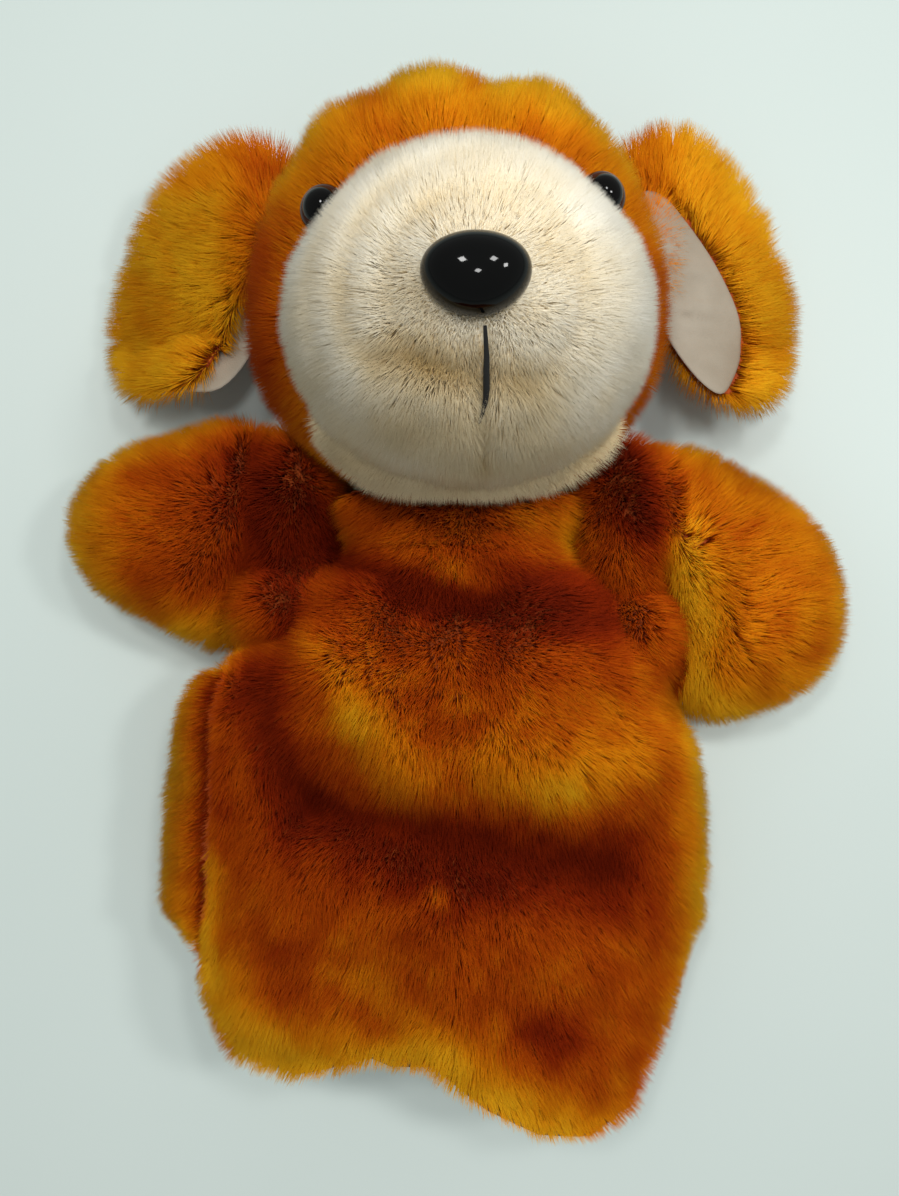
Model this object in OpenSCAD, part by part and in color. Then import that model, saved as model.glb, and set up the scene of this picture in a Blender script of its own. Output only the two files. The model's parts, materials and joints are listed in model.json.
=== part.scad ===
// Plush dog glove puppet, lying on its back.
// Millimetres. X across, Y from the hem towards the crown, Z up from the table.
// Left and right are as seen from above, so left is -X.

/* [Cloth] */
// thickness of the fur cloth, backing and pressed pile together
fur_t = 6; // [4:0.5:8]
// thickness of the dark lining cloth
lining_t = 1; // [0.6:0.2:2]
// gap kept between neighbouring layers
layer_gap = 0.4; // [0.3:0.1:1]

/* [Body] */
// half width of the chest between the arm openings
chest_half_w = 41; // [36:1:42]
// height of the chest above the table
chest_h = 48; // [44:1:54]
// height of the hem above the table
hem_h = 43; // [42:1:48]
// height of the side seams above the table
seam_z = 11; // [8:1:16]
// where the body ends below the neck
body_top_y = 14; // [12:1:15]

/* [Head] */
// half width of the head
head_rx = 52; // [46:1:56]
// half length of the head
head_ry = 53; // [48:1:56]
// half depth of the head
head_rz = 38; // [34:1:40]
// where the middle of the head lies along the puppet
head_y = 85; // [84:1:88]
// radius of the muzzle
muzzle_r = 36.5; // [34:0.5:40]
// top of the muzzle above the table
muzzle_top = 95; // [88:1:98]
// radius of the bore of the finger tube
tube_r = 9.5; // [9:0.5:10]
// wall of the finger tube
tube_wall = 1.5; // [1:0.25:1.5]
// radius of an eye
eye_r = 5.2; // [4.5:0.1:6]

/* [Arms] */
// height of an arm above the table
arm_h = 33; // [28:1:34]
// how far an arm pivot lies from the middle
shoulder_x = 50; // [49:1:52]

/* [Ears] */
// thickness of the furry side of an ear
ear_fur_t = 5; // [4:0.5:6]
// thickness of the lining of an ear
ear_lining_t = 1.5; // [1:0.25:2]

/* [Hidden] */
$fn = 32;

// colours
fur_c = [0.72, 0.40, 0.10];
cream_c = [0.88, 0.82, 0.70];
dark_c = [0.16, 0.16, 0.18];
pink_c = [0.90, 0.82, 0.78];
fill_c = [0.95, 0.95, 0.93];
black_c = [0.02, 0.02, 0.02];
card_c = [0.62, 0.50, 0.36];
clear_c = [0.85, 0.85, 0.85];

// height of the neck and of the middle of the head above the table
neck_z = 22;
head_z = 38;
// depths of the lining's two faces below the surface of the fur cloth
lining_off = fur_t + layer_gap;
inner_off = lining_off + lining_t;
// thicknesses of the seams' threads
seam_r = 1;
arm_seam_r = 0.9;
tape_r = 1.2;
mouth_r = 0.7;
// angle left between the front and back panels at each side seam, measured from the seam, in degrees
panel_gap = 3;
// longer than any wall it is cut through
through = 60;

// ---------- general shapes ----------

// a smooth closed outline through the points of p, n steps from each point to the next
function catmull(a, b, c, d, t) =
    0.5 * (2 * b + (c - a) * t + (2 * a - 5 * b + 4 * c - d) * t * t
        + (3 * b - a - 3 * c + d) * t * t * t);
function smooth_loop(p, n) = [
    for (i = [0 : len(p) - 1]) for (k = [0 : n - 1])
        catmull(p[(i + len(p) - 1) % len(p)], p[i], p[(i + 1) % len(p)], p[(i + 2) % len(p)], k / n)];

// a closed skin between two grids of points with rows of m points
module grid_shell(outer, inner, m) {
    rows = len(outer) / m;
    n = len(outer);
    faces = concat(
        [for (i = [0 : rows - 2]) for (j = [0 : m - 2]) for (h = [0, 1])
            h == 0 ? [i * m + j, i * m + j + 1, i * m + j + m + 1]
                   : [i * m + j, i * m + j + m + 1, i * m + j + m]],
        [for (i = [0 : rows - 2]) for (j = [0 : m - 2]) for (h = [0, 1])
            h == 0 ? [n + i * m + j + m + 1, n + i * m + j + 1, n + i * m + j]
                   : [n + i * m + j + m, n + i * m + j + m + 1, n + i * m + j]],
        [for (j = [0 : m - 2]) for (h = [0, 1])
            h == 0 ? [j + 1, j, n + j] : [j + 1, n + j, n + j + 1]],
        [for (j = [0 : m - 2]) for (h = [0, 1])
            let (a = (rows - 1) * m + j)
            h == 0 ? [a, a + 1, n + a + 1] : [a, n + a + 1, n + a]],
        [for (i = [0 : rows - 2]) for (h = [0, 1])
            let (a = i * m, b = a + m)
            h == 0 ? [a, b, n + b] : [a, n + b, n + a]],
        [for (i = [0 : rows - 2]) for (h = [0, 1])
            let (a = i * m + m - 1, b = a + m)
            h == 0 ? [b, a, n + a] : [b, n + a, n + b]]);
    polyhedron(points = concat(outer, inner), faces = faces);
}

// a closed skin between an upper and a lower cap, each made of rings of m points round one middle point
module cap_shell(top, bottom, m) {
    rings = (len(top) - 1) / m;
    n = len(top);
    last = (rings - 1) * m + 1;
    faces = concat(
        [for (j = [0 : m - 1]) [0, 1 + (j + 1) % m, 1 + j]],
        [for (j = [0 : m - 1]) [n, n + 1 + j, n + 1 + (j + 1) % m]],
        [for (i = [0 : rings - 2]) for (j = [0 : m - 1]) for (h = [0, 1])
            let (a = 1 + i * m + j, b = 1 + i * m + (j + 1) % m)
            h == 0 ? [a, b, b + m] : [a, b + m, a + m]],
        [for (i = [0 : rings - 2]) for (j = [0 : m - 1]) for (h = [0, 1])
            let (a = n + 1 + i * m + j, b = n + 1 + i * m + (j + 1) % m)
            h == 0 ? [b + m, b, a] : [a + m, b + m, a]],
        [for (j = [0 : m - 1]) for (h = [0, 1])
            let (a = last + j, b = last + (j + 1) % m)
            h == 0 ? [a, b, n + b] : [a, n + b, n + a]]);
    polyhedron(points = concat(top, bottom), faces = faces);
}

// a round cord of radius r along the open line p
function unit(v) = v / max(norm(v), 1e-6);
module cord_along(p, r, closed = false) {
    m = 6;
    n = len(p);
    pts = [for (i = [0 : n - 1])
        let (
            a = closed ? p[(i + n - 1) % n] : p[max(i - 1, 0)],
            b = closed ? p[(i + 1) % n] : p[min(i + 1, n - 1)],
            d = unit(b - a),
            up = abs(d[2]) > 0.9 ? [1, 0, 0] : [0, 0, 1],
            u = unit(cross(d, up)),
            v = cross(u, d))
        for (k = [0 : m - 1]) p[i] + r * (cos(60 * k) * u + sin(60 * k) * v)];
    spans = closed ? n - 1 : n - 2;
    side = [for (i = [0 : spans]) for (k = [0 : m - 1]) for (h = [0, 1])
        let (a = i * m + k, b = i * m + (k + 1) % m,
             c = ((i + 1) % n) * m + (k + 1) % m, d = ((i + 1) % n) * m + k)
        h == 0 ? [a, b, c] : [a, c, d]];
    ends = closed ? [] : [[for (k = [m - 1 : -1 : 0]) k], [for (k = [0 : m - 1]) (n - 1) * m + k]];
    polyhedron(points = pts, faces = concat(side, ends));
}

// ---------- body ----------

// half widths, heights and places of the body along its length, from neck to hem
body_v = [0, 0, 0, 0, 0.05, 0.2, 0.4, 0.7, 1];
body_left = [-20, -chest_half_w, -chest_half_w, -50, -69, -77, -81, -83, -74];
body_right = [20, chest_half_w, chest_half_w, 42, 46, 60, 68, 68, 62];
body_top = [40, 45, chest_h, chest_h, chest_h, chest_h, 47, 45, hem_h];
body_y = [body_top_y, 11, -4, -13, -22, -33, -52, -82, -110];
// where the hem lies, from the left seam to the right one
hem_line = [
    [-1, -88], [-0.9, -105], [-0.75, -118], [-0.5, -122], [-0.2, -120], [0, -123],
    [0.2, -131], [0.4, -135.5], [0.6, -136], [0.75, -132], [0.88, -113], [1, -90]];
function hem_drop(c) = body_y[8] - lookup(c, hem_line);
function sgn_pow(c, e) = sign(c) * pow(abs(c), e);

// a point of the body at station s, angle t round it and depth off below the surface
function body_pt(s, t, off) =
    let (
        v = body_v[s],
        mid = (body_left[s] + body_right[s]) / 2,
        w = (body_right[s] - body_left[s]) / 2 - off,
        c = sgn_pow(cos(t), 0.75),
        high = body_top[s],
        x = mid + w * c,
        z = sin(t) >= 0
            ? seam_z + (high - seam_z - off) * pow(abs(sin(t)), 0.8)
            : max(off, seam_z - (seam_z - off) * 1.3 * pow(abs(sin(t)), 0.7)),
        y = body_y[s] - hem_drop(c) * pow(v, 3))
    [x, y, z];
body_rows = 9;
armpit_row = 3;
seam_inset = 2;
module body_skin(t0, t1, from, to) {
    steps = 16;
    grid_shell(
        [for (s = [0 : body_rows - 1]) for (k = [0 : steps]) body_pt(s, t0 + (t1 - t0) * k / steps, from)],
        [for (s = [0 : body_rows - 1]) for (k = [0 : steps]) body_pt(s, t0 + (t1 - t0) * k / steps, to)],
        steps + 1);
}

// the openings from the body into the two arms
arm_hole_r = 7;
neck_hole_r = tube_r + 0.6;
pivot_z = 14;
left_pivot = [-shoulder_x, 5, pivot_z];
right_pivot = [shoulder_x, -2, pivot_z];
module arm_holes() {
    translate([0, left_pivot[1], left_pivot[2]]) rotate([0, -90, 0]) cylinder(r = arm_hole_r, h = through);
    translate([0, right_pivot[1], right_pivot[2]]) rotate([0, 90, 0]) cylinder(r = arm_hole_r, h = through);
}
module neck_hole() {
    translate([0, 0, neck_z]) rotate([-90, 0, 0]) cylinder(r = neck_hole_r, h = through);
}

module body_front_panel() {
    color(fur_c) difference() {
        body_skin(panel_gap, 180 - panel_gap, 0, fur_t);
        arm_holes();
        neck_hole();
    }
}
module body_back_panel() {
    color(fur_c) difference() {
        body_skin(180 + panel_gap, 360 - panel_gap, 0, fur_t);
        arm_holes();
        neck_hole();
    }
}
module side_seam_left() {
    color(fur_c) cord_along([for (s = [armpit_row : body_rows - 1]) body_pt(s, 180, seam_inset)], seam_r);
}
module side_seam_right() {
    color(fur_c) cord_along([for (s = [armpit_row : body_rows - 1]) body_pt(s, 0, seam_inset)], seam_r);
}
module body_lining_front() {
    color(dark_c) difference() {
        body_skin(panel_gap, 180 - panel_gap, lining_off, inner_off);
        arm_holes();
        neck_hole();
    }
}
module body_lining_back() {
    color(dark_c) difference() {
        body_skin(180 + panel_gap, 360 - panel_gap, lining_off, inner_off);
        arm_holes();
        neck_hole();
    }
}
// the tape is sewn over the raw end of the cloth
hem_shift = [0, -1.6, 0];
tape_gap = 8;
module hem_tape(t0, t1) {
    steps = 20;
    last = body_rows - 1;
    p = [for (k = [0 : steps]) body_pt(last, t0 + (t1 - t0) * k / steps, fur_t) + hem_shift];
    color(dark_c) cord_along(p, tape_r);
}
module hem_tape_front() hem_tape(tape_gap, 180 - tape_gap);
module hem_tape_back() hem_tape(180 + tape_gap, 360 - tape_gap);

// ---------- shoulders and arms ----------

// a ring of stitches round each arm's opening, a little inward of the arm's pivot
ring_r = arm_hole_r + 0.6;
ring_inset = [3, 0, 0];
module shoulder_ring() {
    color(fur_c) rotate([0, 90, 0]) rotate_extrude() translate([ring_r, 0]) circle(r = seam_r);
}
module shoulder_seam_left() translate(left_pivot + ring_inset) shoulder_ring();
module shoulder_seam_right() translate(right_pivot - ring_inset) shoulder_ring();

arm_left_line = smooth_loop([
    [-51.2, 8], [-51.5, 26], [-54, 46], [-62, 54], [-82, 51], [-99, 46], [-108, 36],
    [-110, 25], [-103, 11], [-88, 2], [-73, -4], [-60, -4]], 2);
arm_right_line = smooth_loop([
    [51.2, 4], [52, -8], [61, -19], [74, -26], [91, -22], [104, -13],
    [110, 2], [107, 19], [96, 33], [77, 43], [61, 47], [53, 34]], 2);
function sum_list(v, i = 0) = i >= len(v) ? [0, 0] : v[i] + sum_list(v, i + 1);
function centre(line) = sum_list(line) / len(line);
function shrink(line, d) =
    let (c = centre(line)) [for (q = line) q - unit(q - c) * d];

// how high the top of an arm is, kept low near its root so that it can swing
arm_rim_z = seam_z - 3;
arm_root_h = 17;
arm_root_r = 4;
arm_rise = 0.75;
arm_round = 2.6;
function arm_dome(p, k, pivot, d) =
    let (
        out = norm([p[0] - pivot[0], p[1] - pivot[1]]),
        high = min(arm_h, arm_root_h + arm_rise * max(0, out - arm_root_r)))
    arm_rim_z + (high - arm_rim_z - d) * sqrt(max(0, 1 - pow(k, arm_round)));
arm_rings = [0.3, 0.55, 0.78, 0.92, 1];
arm_flat = 0.78;
arm_back_t = 0.8 * fur_t;
function arm_top(line, pivot, d) =
    let (l = shrink(line, d), c = centre(l))
    concat([[c[0], c[1], arm_dome(c, 0, pivot, d)]],
        [for (k = arm_rings) for (q = l) let (p = c + (q - c) * k) [p[0], p[1], arm_dome(p, k, pivot, d)]]);
function arm_bottom(line, d) =
    let (l = shrink(line, d), c = centre(l))
    concat([[c[0], c[1], d]],
        [for (k = arm_rings) for (q = l) let (p = c + (q - c) * k)
            [p[0], p[1], d + (arm_rim_z - 0.6 - d) * max(0, (k - arm_flat) / (1 - arm_flat))]]);
module arm_front(line, pivot) {
    cap_shell(arm_top(line, pivot, 0), arm_top(line, pivot, fur_t), len(line));
}
module arm_back(line) {
    cap_shell(arm_bottom(line, arm_back_t), arm_bottom(line, 0), len(line));
}
module arm_pocket(line, pivot) {
    difference() {
        cap_shell(arm_top(line, pivot, lining_off), arm_bottom(line, fur_t), len(line));
        cap_shell(arm_top(line, pivot, inner_off), arm_bottom(line, fur_t + lining_t), len(line));
    }
}
module arm_mouth(pivot, side) {
    translate([pivot[0] - side * 12, pivot[1], pivot[2]])
        rotate([0, side * 90, 0]) cylinder(r = arm_hole_r, h = through / 2);
}
arm_seam_inset = 1.4;
module arm_seam(line) {
    l = shrink(line, arm_seam_inset);
    cord_along([for (q = l) [q[0], q[1], arm_rim_z - 0.4]], arm_seam_r, true);
}
module arm_left_front() color(fur_c) difference() {
    arm_front(arm_left_line, left_pivot);
    arm_mouth(left_pivot, -1);
}
module arm_left_back() color(fur_c) arm_back(arm_left_line);
module arm_left_pocket() color(dark_c) difference() {
    arm_pocket(arm_left_line, left_pivot);
    arm_mouth(left_pivot, -1);
}
module arm_left_seam() color(fur_c) arm_seam(arm_left_line);
module arm_right_front() color(fur_c) difference() {
    arm_front(arm_right_line, right_pivot);
    arm_mouth(right_pivot, 1);
}
module arm_right_back() color(fur_c) arm_back(arm_right_line);
module arm_right_pocket() color(dark_c) difference() {
    arm_pocket(arm_right_line, right_pivot);
    arm_mouth(right_pivot, 1);
}
module arm_right_seam() color(fur_c) arm_seam(arm_right_line);

// ---------- neck ----------

// a short cloth sleeve with the drawstring thread round it
sleeve_from = 18;
sleeve_l = 4.6;
sleeve_bore_r = tube_r + 0.5;
sleeve_r = sleeve_bore_r + 1.4;
thread_y = 20;
thread_ring_r = sleeve_r + 2;
module neck_thread() color(dark_c)
    translate([0, thread_y, neck_z]) rotate([-90, 0, 0])
        rotate_extrude() translate([thread_ring_r, 0]) circle(r = seam_r);
module neck_sleeve() color(dark_c)
    translate([0, sleeve_from, neck_z]) rotate([-90, 0, 0]) difference() {
        cylinder(r = sleeve_r, h = sleeve_l);
        translate([0, 0, -1]) cylinder(r = sleeve_bore_r, h = sleeve_l + 2);
    }

// ---------- head ----------

// a point of the head at angle a round its length, angle b from its lower pole, depth off
back_bulge = 2;
function head_pt(a, b, off) =
    let (
        r = sin(b),
        x = (head_rx - off) * r * cos(a),
        y = head_y - (head_ry - off) * cos(b),
        z = head_z + (head_rz + (sin(a) < 0 ? back_bulge : 0) - off) * r * sin(a))
    [x, y, max(off * 0.9, z)];
// half of the head's cloth, open at the neck and gathered at the crown
head_seam = 0.6;
head_b0 = 18;
head_b1 = 174;
module head_skin(a0, a1, from, to) {
    steps = 16;
    rows = 12;
    grid_shell(
        [for (i = [0 : rows]) for (k = [0 : steps])
            head_pt(a0 + (a1 - a0) * k / steps, head_b0 + (head_b1 - head_b0) * i / rows, from)],
        [for (i = [0 : rows]) for (k = [0 : steps])
            head_pt(a0 + (a1 - a0) * k / steps, head_b0 + (head_b1 - head_b0) * i / rows, to)],
        steps + 1);
}
tube_end = 90;
tube_mouth = 29.5;
tube_space_r = tube_r + tube_wall + layer_gap;
// room for the finger tube, open towards the neck
module tube_space(r) {
    translate([0, tube_mouth - 10, neck_z]) rotate([-90, 0, 0])
        cylinder(r = r, h = tube_end - tube_mouth + 10.5);
}
// the holes that the eye and nose shanks pass through
nose_y = 71;
shank_r = 1.5;
shank_hole = 1.9;
function face_z(x, y) =
    head_z + head_rz * sqrt(max(0.12, 1 - pow(x / head_rx, 2) - pow((y - head_y) / head_ry, 2)));
// where the eyes are; the head lies turned a little, so one is higher up
eye_left_at = [-30.4, 95.6];
eye_right_at = [32.8, 99.6];
function eye_z(at) = face_z(at[0], at[1]);
shank_deep = 22;
module shank_space(r) {
    for (e = [eye_left_at, eye_right_at])
        translate([e[0], e[1], eye_z(e) - shank_deep]) cylinder(r = r, h = shank_deep + 12);
    translate([muzzle_x, nose_y, muzzle_top - shank_deep]) cylinder(r = r, h = shank_deep + 8);
}
module face_panel() color(fur_c) difference() {
    head_skin(head_seam, 180 - head_seam, 0, fur_t);
    tube_space(tube_space_r);
    shank_space(shank_hole);
}
module crown_panel() color(fur_c) difference() {
    head_skin(180 + head_seam, 360 - head_seam, 0, fur_t);
    tube_space(tube_space_r);
}
washer_r = 4.5;
washer_t = 1.4;
eye_washer_drop = fur_t + 8.6;
module washer_space() {
    for (e = [eye_left_at, eye_right_at])
        translate([e[0], e[1], eye_z(e) - eye_washer_drop - 2.4])
            cylinder(r = washer_r + 2, h = through / 2);
}
module head_stuffing() color(fill_c) difference() {
    head_fill();
    tube_space(tube_space_r);
    washer_space();
}
// the filling, a little clear of the facets of the head's cloth
module head_fill() {
    m = 24;
    rows = 9;
    off = fur_t + layer_gap + 0.6;
    cols = [for (k = [0 : m - 1]) 360 * k / m];
    b = [for (i = [0 : rows]) head_b0 + 6 + (head_b1 - head_b0 - 24) * i / rows];
    pts = concat(
        [for (v = b) for (a = cols) head_pt(a, v, off)],
        [[0, head_pt(90, b[0], off)[1], head_z], [0, head_pt(90, b[rows], off)[1], head_z]]);
    n = len(pts);
    faces = concat(
        [for (i = [0 : rows - 1]) for (k = [0 : m - 1]) for (h = [0, 1])
            let (p = i * m + k, q = i * m + (k + 1) % m)
            h == 0 ? [p, q, q + m] : [p, q + m, p + m]],
        [for (k = [0 : m - 1]) [n - 2, (k + 1) % m, k]],
        [for (k = [0 : m - 1]) [n - 1, rows * m + k, rows * m + (k + 1) % m]]);
    polyhedron(points = pts, faces = faces);
}
module finger_tube() color(card_c) translate([0, tube_mouth, neck_z]) rotate([-90, 0, 0])
    difference() {
        cylinder(r = tube_r + tube_wall, h = tube_end - tube_mouth);
        translate([0, 0, -1]) cylinder(r = tube_r, h = tube_end - tube_mouth + 2);
    }

// muzzle: a padded round cushion on the front of the face
muzzle_x = 3;
muzzle_y = 70;
muzzle_rings = [0.3, 0.55, 0.75, 0.9, 1];
muzzle_sides = 28;
function muzzle_z(k, base, d) =
    base + (muzzle_top - d - base) * sqrt(max(0, 1 - pow(k, 2.4)));
function muzzle_cap(r, d, lift) = concat(
    [[muzzle_x, muzzle_y, muzzle_top - d]],
    [for (k = muzzle_rings) for (j = [0 : muzzle_sides - 1])
        let (
            a = 360 * j / muzzle_sides,
            rim = [muzzle_x + r * cos(a), muzzle_y + r * sin(a)],
            base = face_z(rim[0], rim[1]) + lift)
        [muzzle_x + r * k * cos(a), muzzle_y + r * k * sin(a), muzzle_z(k, base, d)]]);
function muzzle_floor(r, lift) = concat(
    [[muzzle_x, muzzle_y, face_z(muzzle_x, muzzle_y) + lift]],
    [for (k = muzzle_rings) for (j = [0 : muzzle_sides - 1])
        let (a = 360 * j / muzzle_sides, x = muzzle_x + r * k * cos(a), y = muzzle_y + r * k * sin(a))
        [x, y, face_z(x, y) + lift]]);
cream_t = 4;
muzzle_lift = 1.2;
nose_washer_r = 7;
nose_dimple = 1;
nose_dimple_r = 9;
module muzzle_cover() color(cream_c) difference() {
    cap_shell(
        muzzle_cap(muzzle_r, 0, muzzle_lift),
        muzzle_cap(muzzle_r - cream_t, cream_t, muzzle_lift), muzzle_sides);
    shank_space(shank_hole);
    translate([muzzle_x, nose_y, muzzle_top - nose_dimple]) cylinder(r = nose_dimple_r, h = through);
}
module muzzle_stuffing() color(fill_c) difference() {
    cap_shell(
        muzzle_cap(muzzle_r - cream_t - 0.8, cream_t + 0.6, muzzle_lift + 0.2),
        muzzle_floor(muzzle_r - cream_t - 0.8, muzzle_lift - 0.1), muzzle_sides);
    translate([muzzle_x, nose_y, muzzle_top - cream_t - 7]) cylinder(r = nose_washer_r + 2.5, h = through);
    translate([muzzle_x, nose_y, muzzle_top - shank_deep - 2])
        cylinder(r = shank_hole + 1.6, h = through);
}

// chin: a small cream pad under the muzzle, on the face
chin_t = 4;
chin_gap = 0.6;
module chin_patch() color(cream_c) {
    steps = 14;
    rows = 4;
    grid_shell(
        [for (i = [0 : rows]) for (k = [0 : steps]) chin_pt(k / steps, i / rows, chin_t)],
        [for (i = [0 : rows]) for (k = [0 : steps]) chin_pt(k / steps, i / rows, chin_gap)],
        steps + 1);
}
function chin_pt(u, v, off) =
    let (a = 24 + 132 * u, top = asin(min(1, 0.27 / sin(a))))
    head_pt(a, 9 + (top - 9) * v, -off);

// nose and eyes: moulded safety fittings with a shank and a washer
module fitting(rx, ry, h, shank) {
    rotate_extrude() polygon(concat(
        [[0, 0]], [for (a = [0 : 10 : 80]) [rx * cos(a), h * sin(a)]], [[0, h]]));
    translate([0, 0, -shank]) cylinder(r = shank_r, h = shank + 0.5);
}
nose_half_w = 11;
nose_h = 8.6;
nose_r = 8.8;
nose_lobe_r = 6.8;
nose_shank = 12;
nose_z = muzzle_top - 0.5;
// a round button with a lobe on each side, flat underneath
module nose() color(black_c) {
    translate([muzzle_x, nose_y, nose_z]) fitting(nose_r, nose_r, nose_h, nose_shank);
    intersection() {
        translate([muzzle_x, nose_y, nose_z]) for (s = [-1, 1])
            translate([s * (nose_half_w - nose_lobe_r), 0.6, 0])
                fitting(nose_lobe_r, nose_lobe_r, nose_h - 1, 1);
        translate([muzzle_x, nose_y, nose_z + through / 2]) cube(through, center = true);
    }
}
module nose_washer() color(clear_c)
    translate([muzzle_x, nose_y, muzzle_top - cream_t - 3.4]) difference() {
        cylinder(r = nose_washer_r, h = washer_t);
        translate([0, 0, -1]) cylinder(r = shank_r + 0.05, h = washer_t + 2);
    }
eye_lift = 1.6;
eye_h = 4.6;
eye_shank = eye_lift + eye_washer_drop + 0.8;
module eye(at) {
    color(black_c) translate([at[0], at[1], eye_z(at) + eye_lift]) fitting(eye_r, eye_r, eye_h, eye_shank);
}
module eye_left() eye(eye_left_at);
module eye_right() eye(eye_right_at);
module eye_washer(at) {
    color(clear_c) translate([at[0], at[1], eye_z(at) - eye_washer_drop]) difference() {
        cylinder(r = washer_r, h = washer_t);
        translate([0, 0, -1]) cylinder(r = shank_r + 0.05, h = washer_t + 2);
    }
}
module eye_washer_left() eye_washer(eye_left_at);
module eye_washer_right() eye_washer(eye_right_at);

// mouth: a line of black thread from the nose down over the muzzle
mouth_from = 9.5;
function mouth_pt(dy) =
    let (k = dy / muzzle_r, base = face_z(muzzle_x, muzzle_y - muzzle_r) + muzzle_lift)
    [muzzle_x + 1, muzzle_y - dy, muzzle_z(k, base, 0) + 1.1];
module mouth_stitch() color(black_c)
    cord_along([for (k = [0 : 8]) mouth_pt(mouth_from + 2 * k)], mouth_r);

// ---------- ears ----------

// the outline of each ear in plan
ear_left_line = smooth_loop([
    [-46, 124], [-60, 131], [-80, 125], [-91, 112], [-97, 94], [-96, 78],
    [-87, 67], [-76, 64], [-65, 68], [-58, 77], [-54, 88], [-51, 104]], 2);
ear_right_line = smooth_loop([
    [46, 125], [62, 134], [79, 123], [89, 109], [96, 93], [95, 77],
    [86, 65], [75, 62], [65, 66], [58, 77], [54, 88], [51, 104]], 2);
// ears slope from their roots down to the table
ear_root_x = 57;
ear_tip_x = 97;
function ear_z(p) =
    let (u = min(1, max(0, (abs(p[0]) - ear_root_x) / (ear_tip_x - ear_root_x))))
    0.2 + 20 * pow(1 - u, 1.4) + 4 * sin(180 * u) + 0.6 * max(0, 80 - p[1]);
ear_rings = [0.35, 0.7, 0.93, 1];
function ear_side(line, lift, edge) =
    let (c = centre(line))
    concat([[c[0], c[1], ear_z(c) + lift]],
        [for (k = ear_rings) for (q = line) let (p = c + (q - c) * k)
            [p[0], p[1], ear_z(p) + (k > 0.99 ? edge : lift)]]);
module ear_plate(line, from, to, edge_from, edge_to) {
    cap_shell(ear_side(line, to, edge_to), ear_side(line, from, edge_from), len(line));
}
// the left ear lies fur up, the right one lining up
ear_gap = 0.5;
module ear_left_fur() color(fur_c)
    ear_plate(
        ear_left_line, ear_lining_t + ear_gap, ear_lining_t + ear_fur_t,
        ear_lining_t + ear_gap, ear_lining_t + 3);
module ear_left_lining() color(pink_c)
    ear_plate(shrink(ear_left_line, 1.5), 0, ear_lining_t, 0.4, ear_lining_t);
module ear_right_fur() color(fur_c)
    ear_plate(ear_right_line, 0, ear_fur_t, 2, ear_fur_t - 0.6);
ear_right_lift = ear_fur_t + 2 * ear_gap;
module ear_right_lining() color(pink_c)
    ear_plate(
        shrink(ear_right_line, 4), ear_right_lift, ear_right_lift + ear_lining_t,
        ear_right_lift, ear_right_lift + 0.6);

body_front_panel();
body_back_panel();
side_seam_left();
side_seam_right();
body_lining_front();
body_lining_back();
hem_tape_front();
hem_tape_back();
shoulder_seam_left();
shoulder_seam_right();
arm_left_front();
arm_left_back();
arm_left_pocket();
arm_left_seam();
arm_right_front();
arm_right_back();
arm_right_pocket();
arm_right_seam();
neck_thread();
neck_sleeve();
face_panel();
crown_panel();
head_stuffing();
finger_tube();
muzzle_cover();
muzzle_stuffing();
chin_patch();
nose();
nose_washer();
eye_left();
eye_right();
eye_washer_left();
eye_washer_right();
mouth_stitch();
ear_left_fur();
ear_left_lining();
ear_right_fur();
ear_right_lining();
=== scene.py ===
"""Looks of the plush dog glove puppet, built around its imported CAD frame."""
import itertools
import json
import math

import bmesh
import bpy
import numpy as np
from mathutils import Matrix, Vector
from mathutils.kdtree import KDTree

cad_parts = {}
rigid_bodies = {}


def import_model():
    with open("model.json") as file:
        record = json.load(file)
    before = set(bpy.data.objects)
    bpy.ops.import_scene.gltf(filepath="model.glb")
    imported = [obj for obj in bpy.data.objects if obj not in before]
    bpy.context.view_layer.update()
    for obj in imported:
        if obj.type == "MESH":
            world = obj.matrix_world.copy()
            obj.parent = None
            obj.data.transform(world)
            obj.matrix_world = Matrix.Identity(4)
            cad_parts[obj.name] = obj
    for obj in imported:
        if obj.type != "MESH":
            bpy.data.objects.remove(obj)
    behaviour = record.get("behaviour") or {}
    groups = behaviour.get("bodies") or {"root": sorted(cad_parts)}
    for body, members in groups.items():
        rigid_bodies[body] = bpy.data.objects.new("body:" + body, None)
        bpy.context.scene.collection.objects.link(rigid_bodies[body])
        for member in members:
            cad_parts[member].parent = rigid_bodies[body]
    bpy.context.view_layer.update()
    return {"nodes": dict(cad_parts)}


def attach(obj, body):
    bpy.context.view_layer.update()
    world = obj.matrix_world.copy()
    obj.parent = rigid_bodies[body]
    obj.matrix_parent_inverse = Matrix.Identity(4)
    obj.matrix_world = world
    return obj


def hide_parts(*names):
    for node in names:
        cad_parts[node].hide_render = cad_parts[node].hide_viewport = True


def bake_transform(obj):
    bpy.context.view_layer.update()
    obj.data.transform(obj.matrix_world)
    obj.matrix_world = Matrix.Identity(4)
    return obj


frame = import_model()
MM = 0.001
DENSITY = 1.0
PILE_MAP = "OFBake"  # u holds a strand's tone, and v its way from root to tip

# ---------- shapes, in millimetres


def unit(v):
    v = np.asarray(v, float)
    return v / np.maximum(np.linalg.norm(v, axis=-1, keepdims=True), 1e-9)


def ease(x, a, b):
    """Rises smoothly from 0 at a to 1 at b."""
    t = np.clip((np.asarray(x, float) - a) / (b - a), 0, 1)
    return t * t * (3 - 2 * t)


def bump(x, centre, width):
    return np.exp(-(((np.asarray(x, float) - centre) / width) ** 2))


def sgn_pow(c, e):
    return np.sign(c) * np.abs(c) ** e


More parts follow.
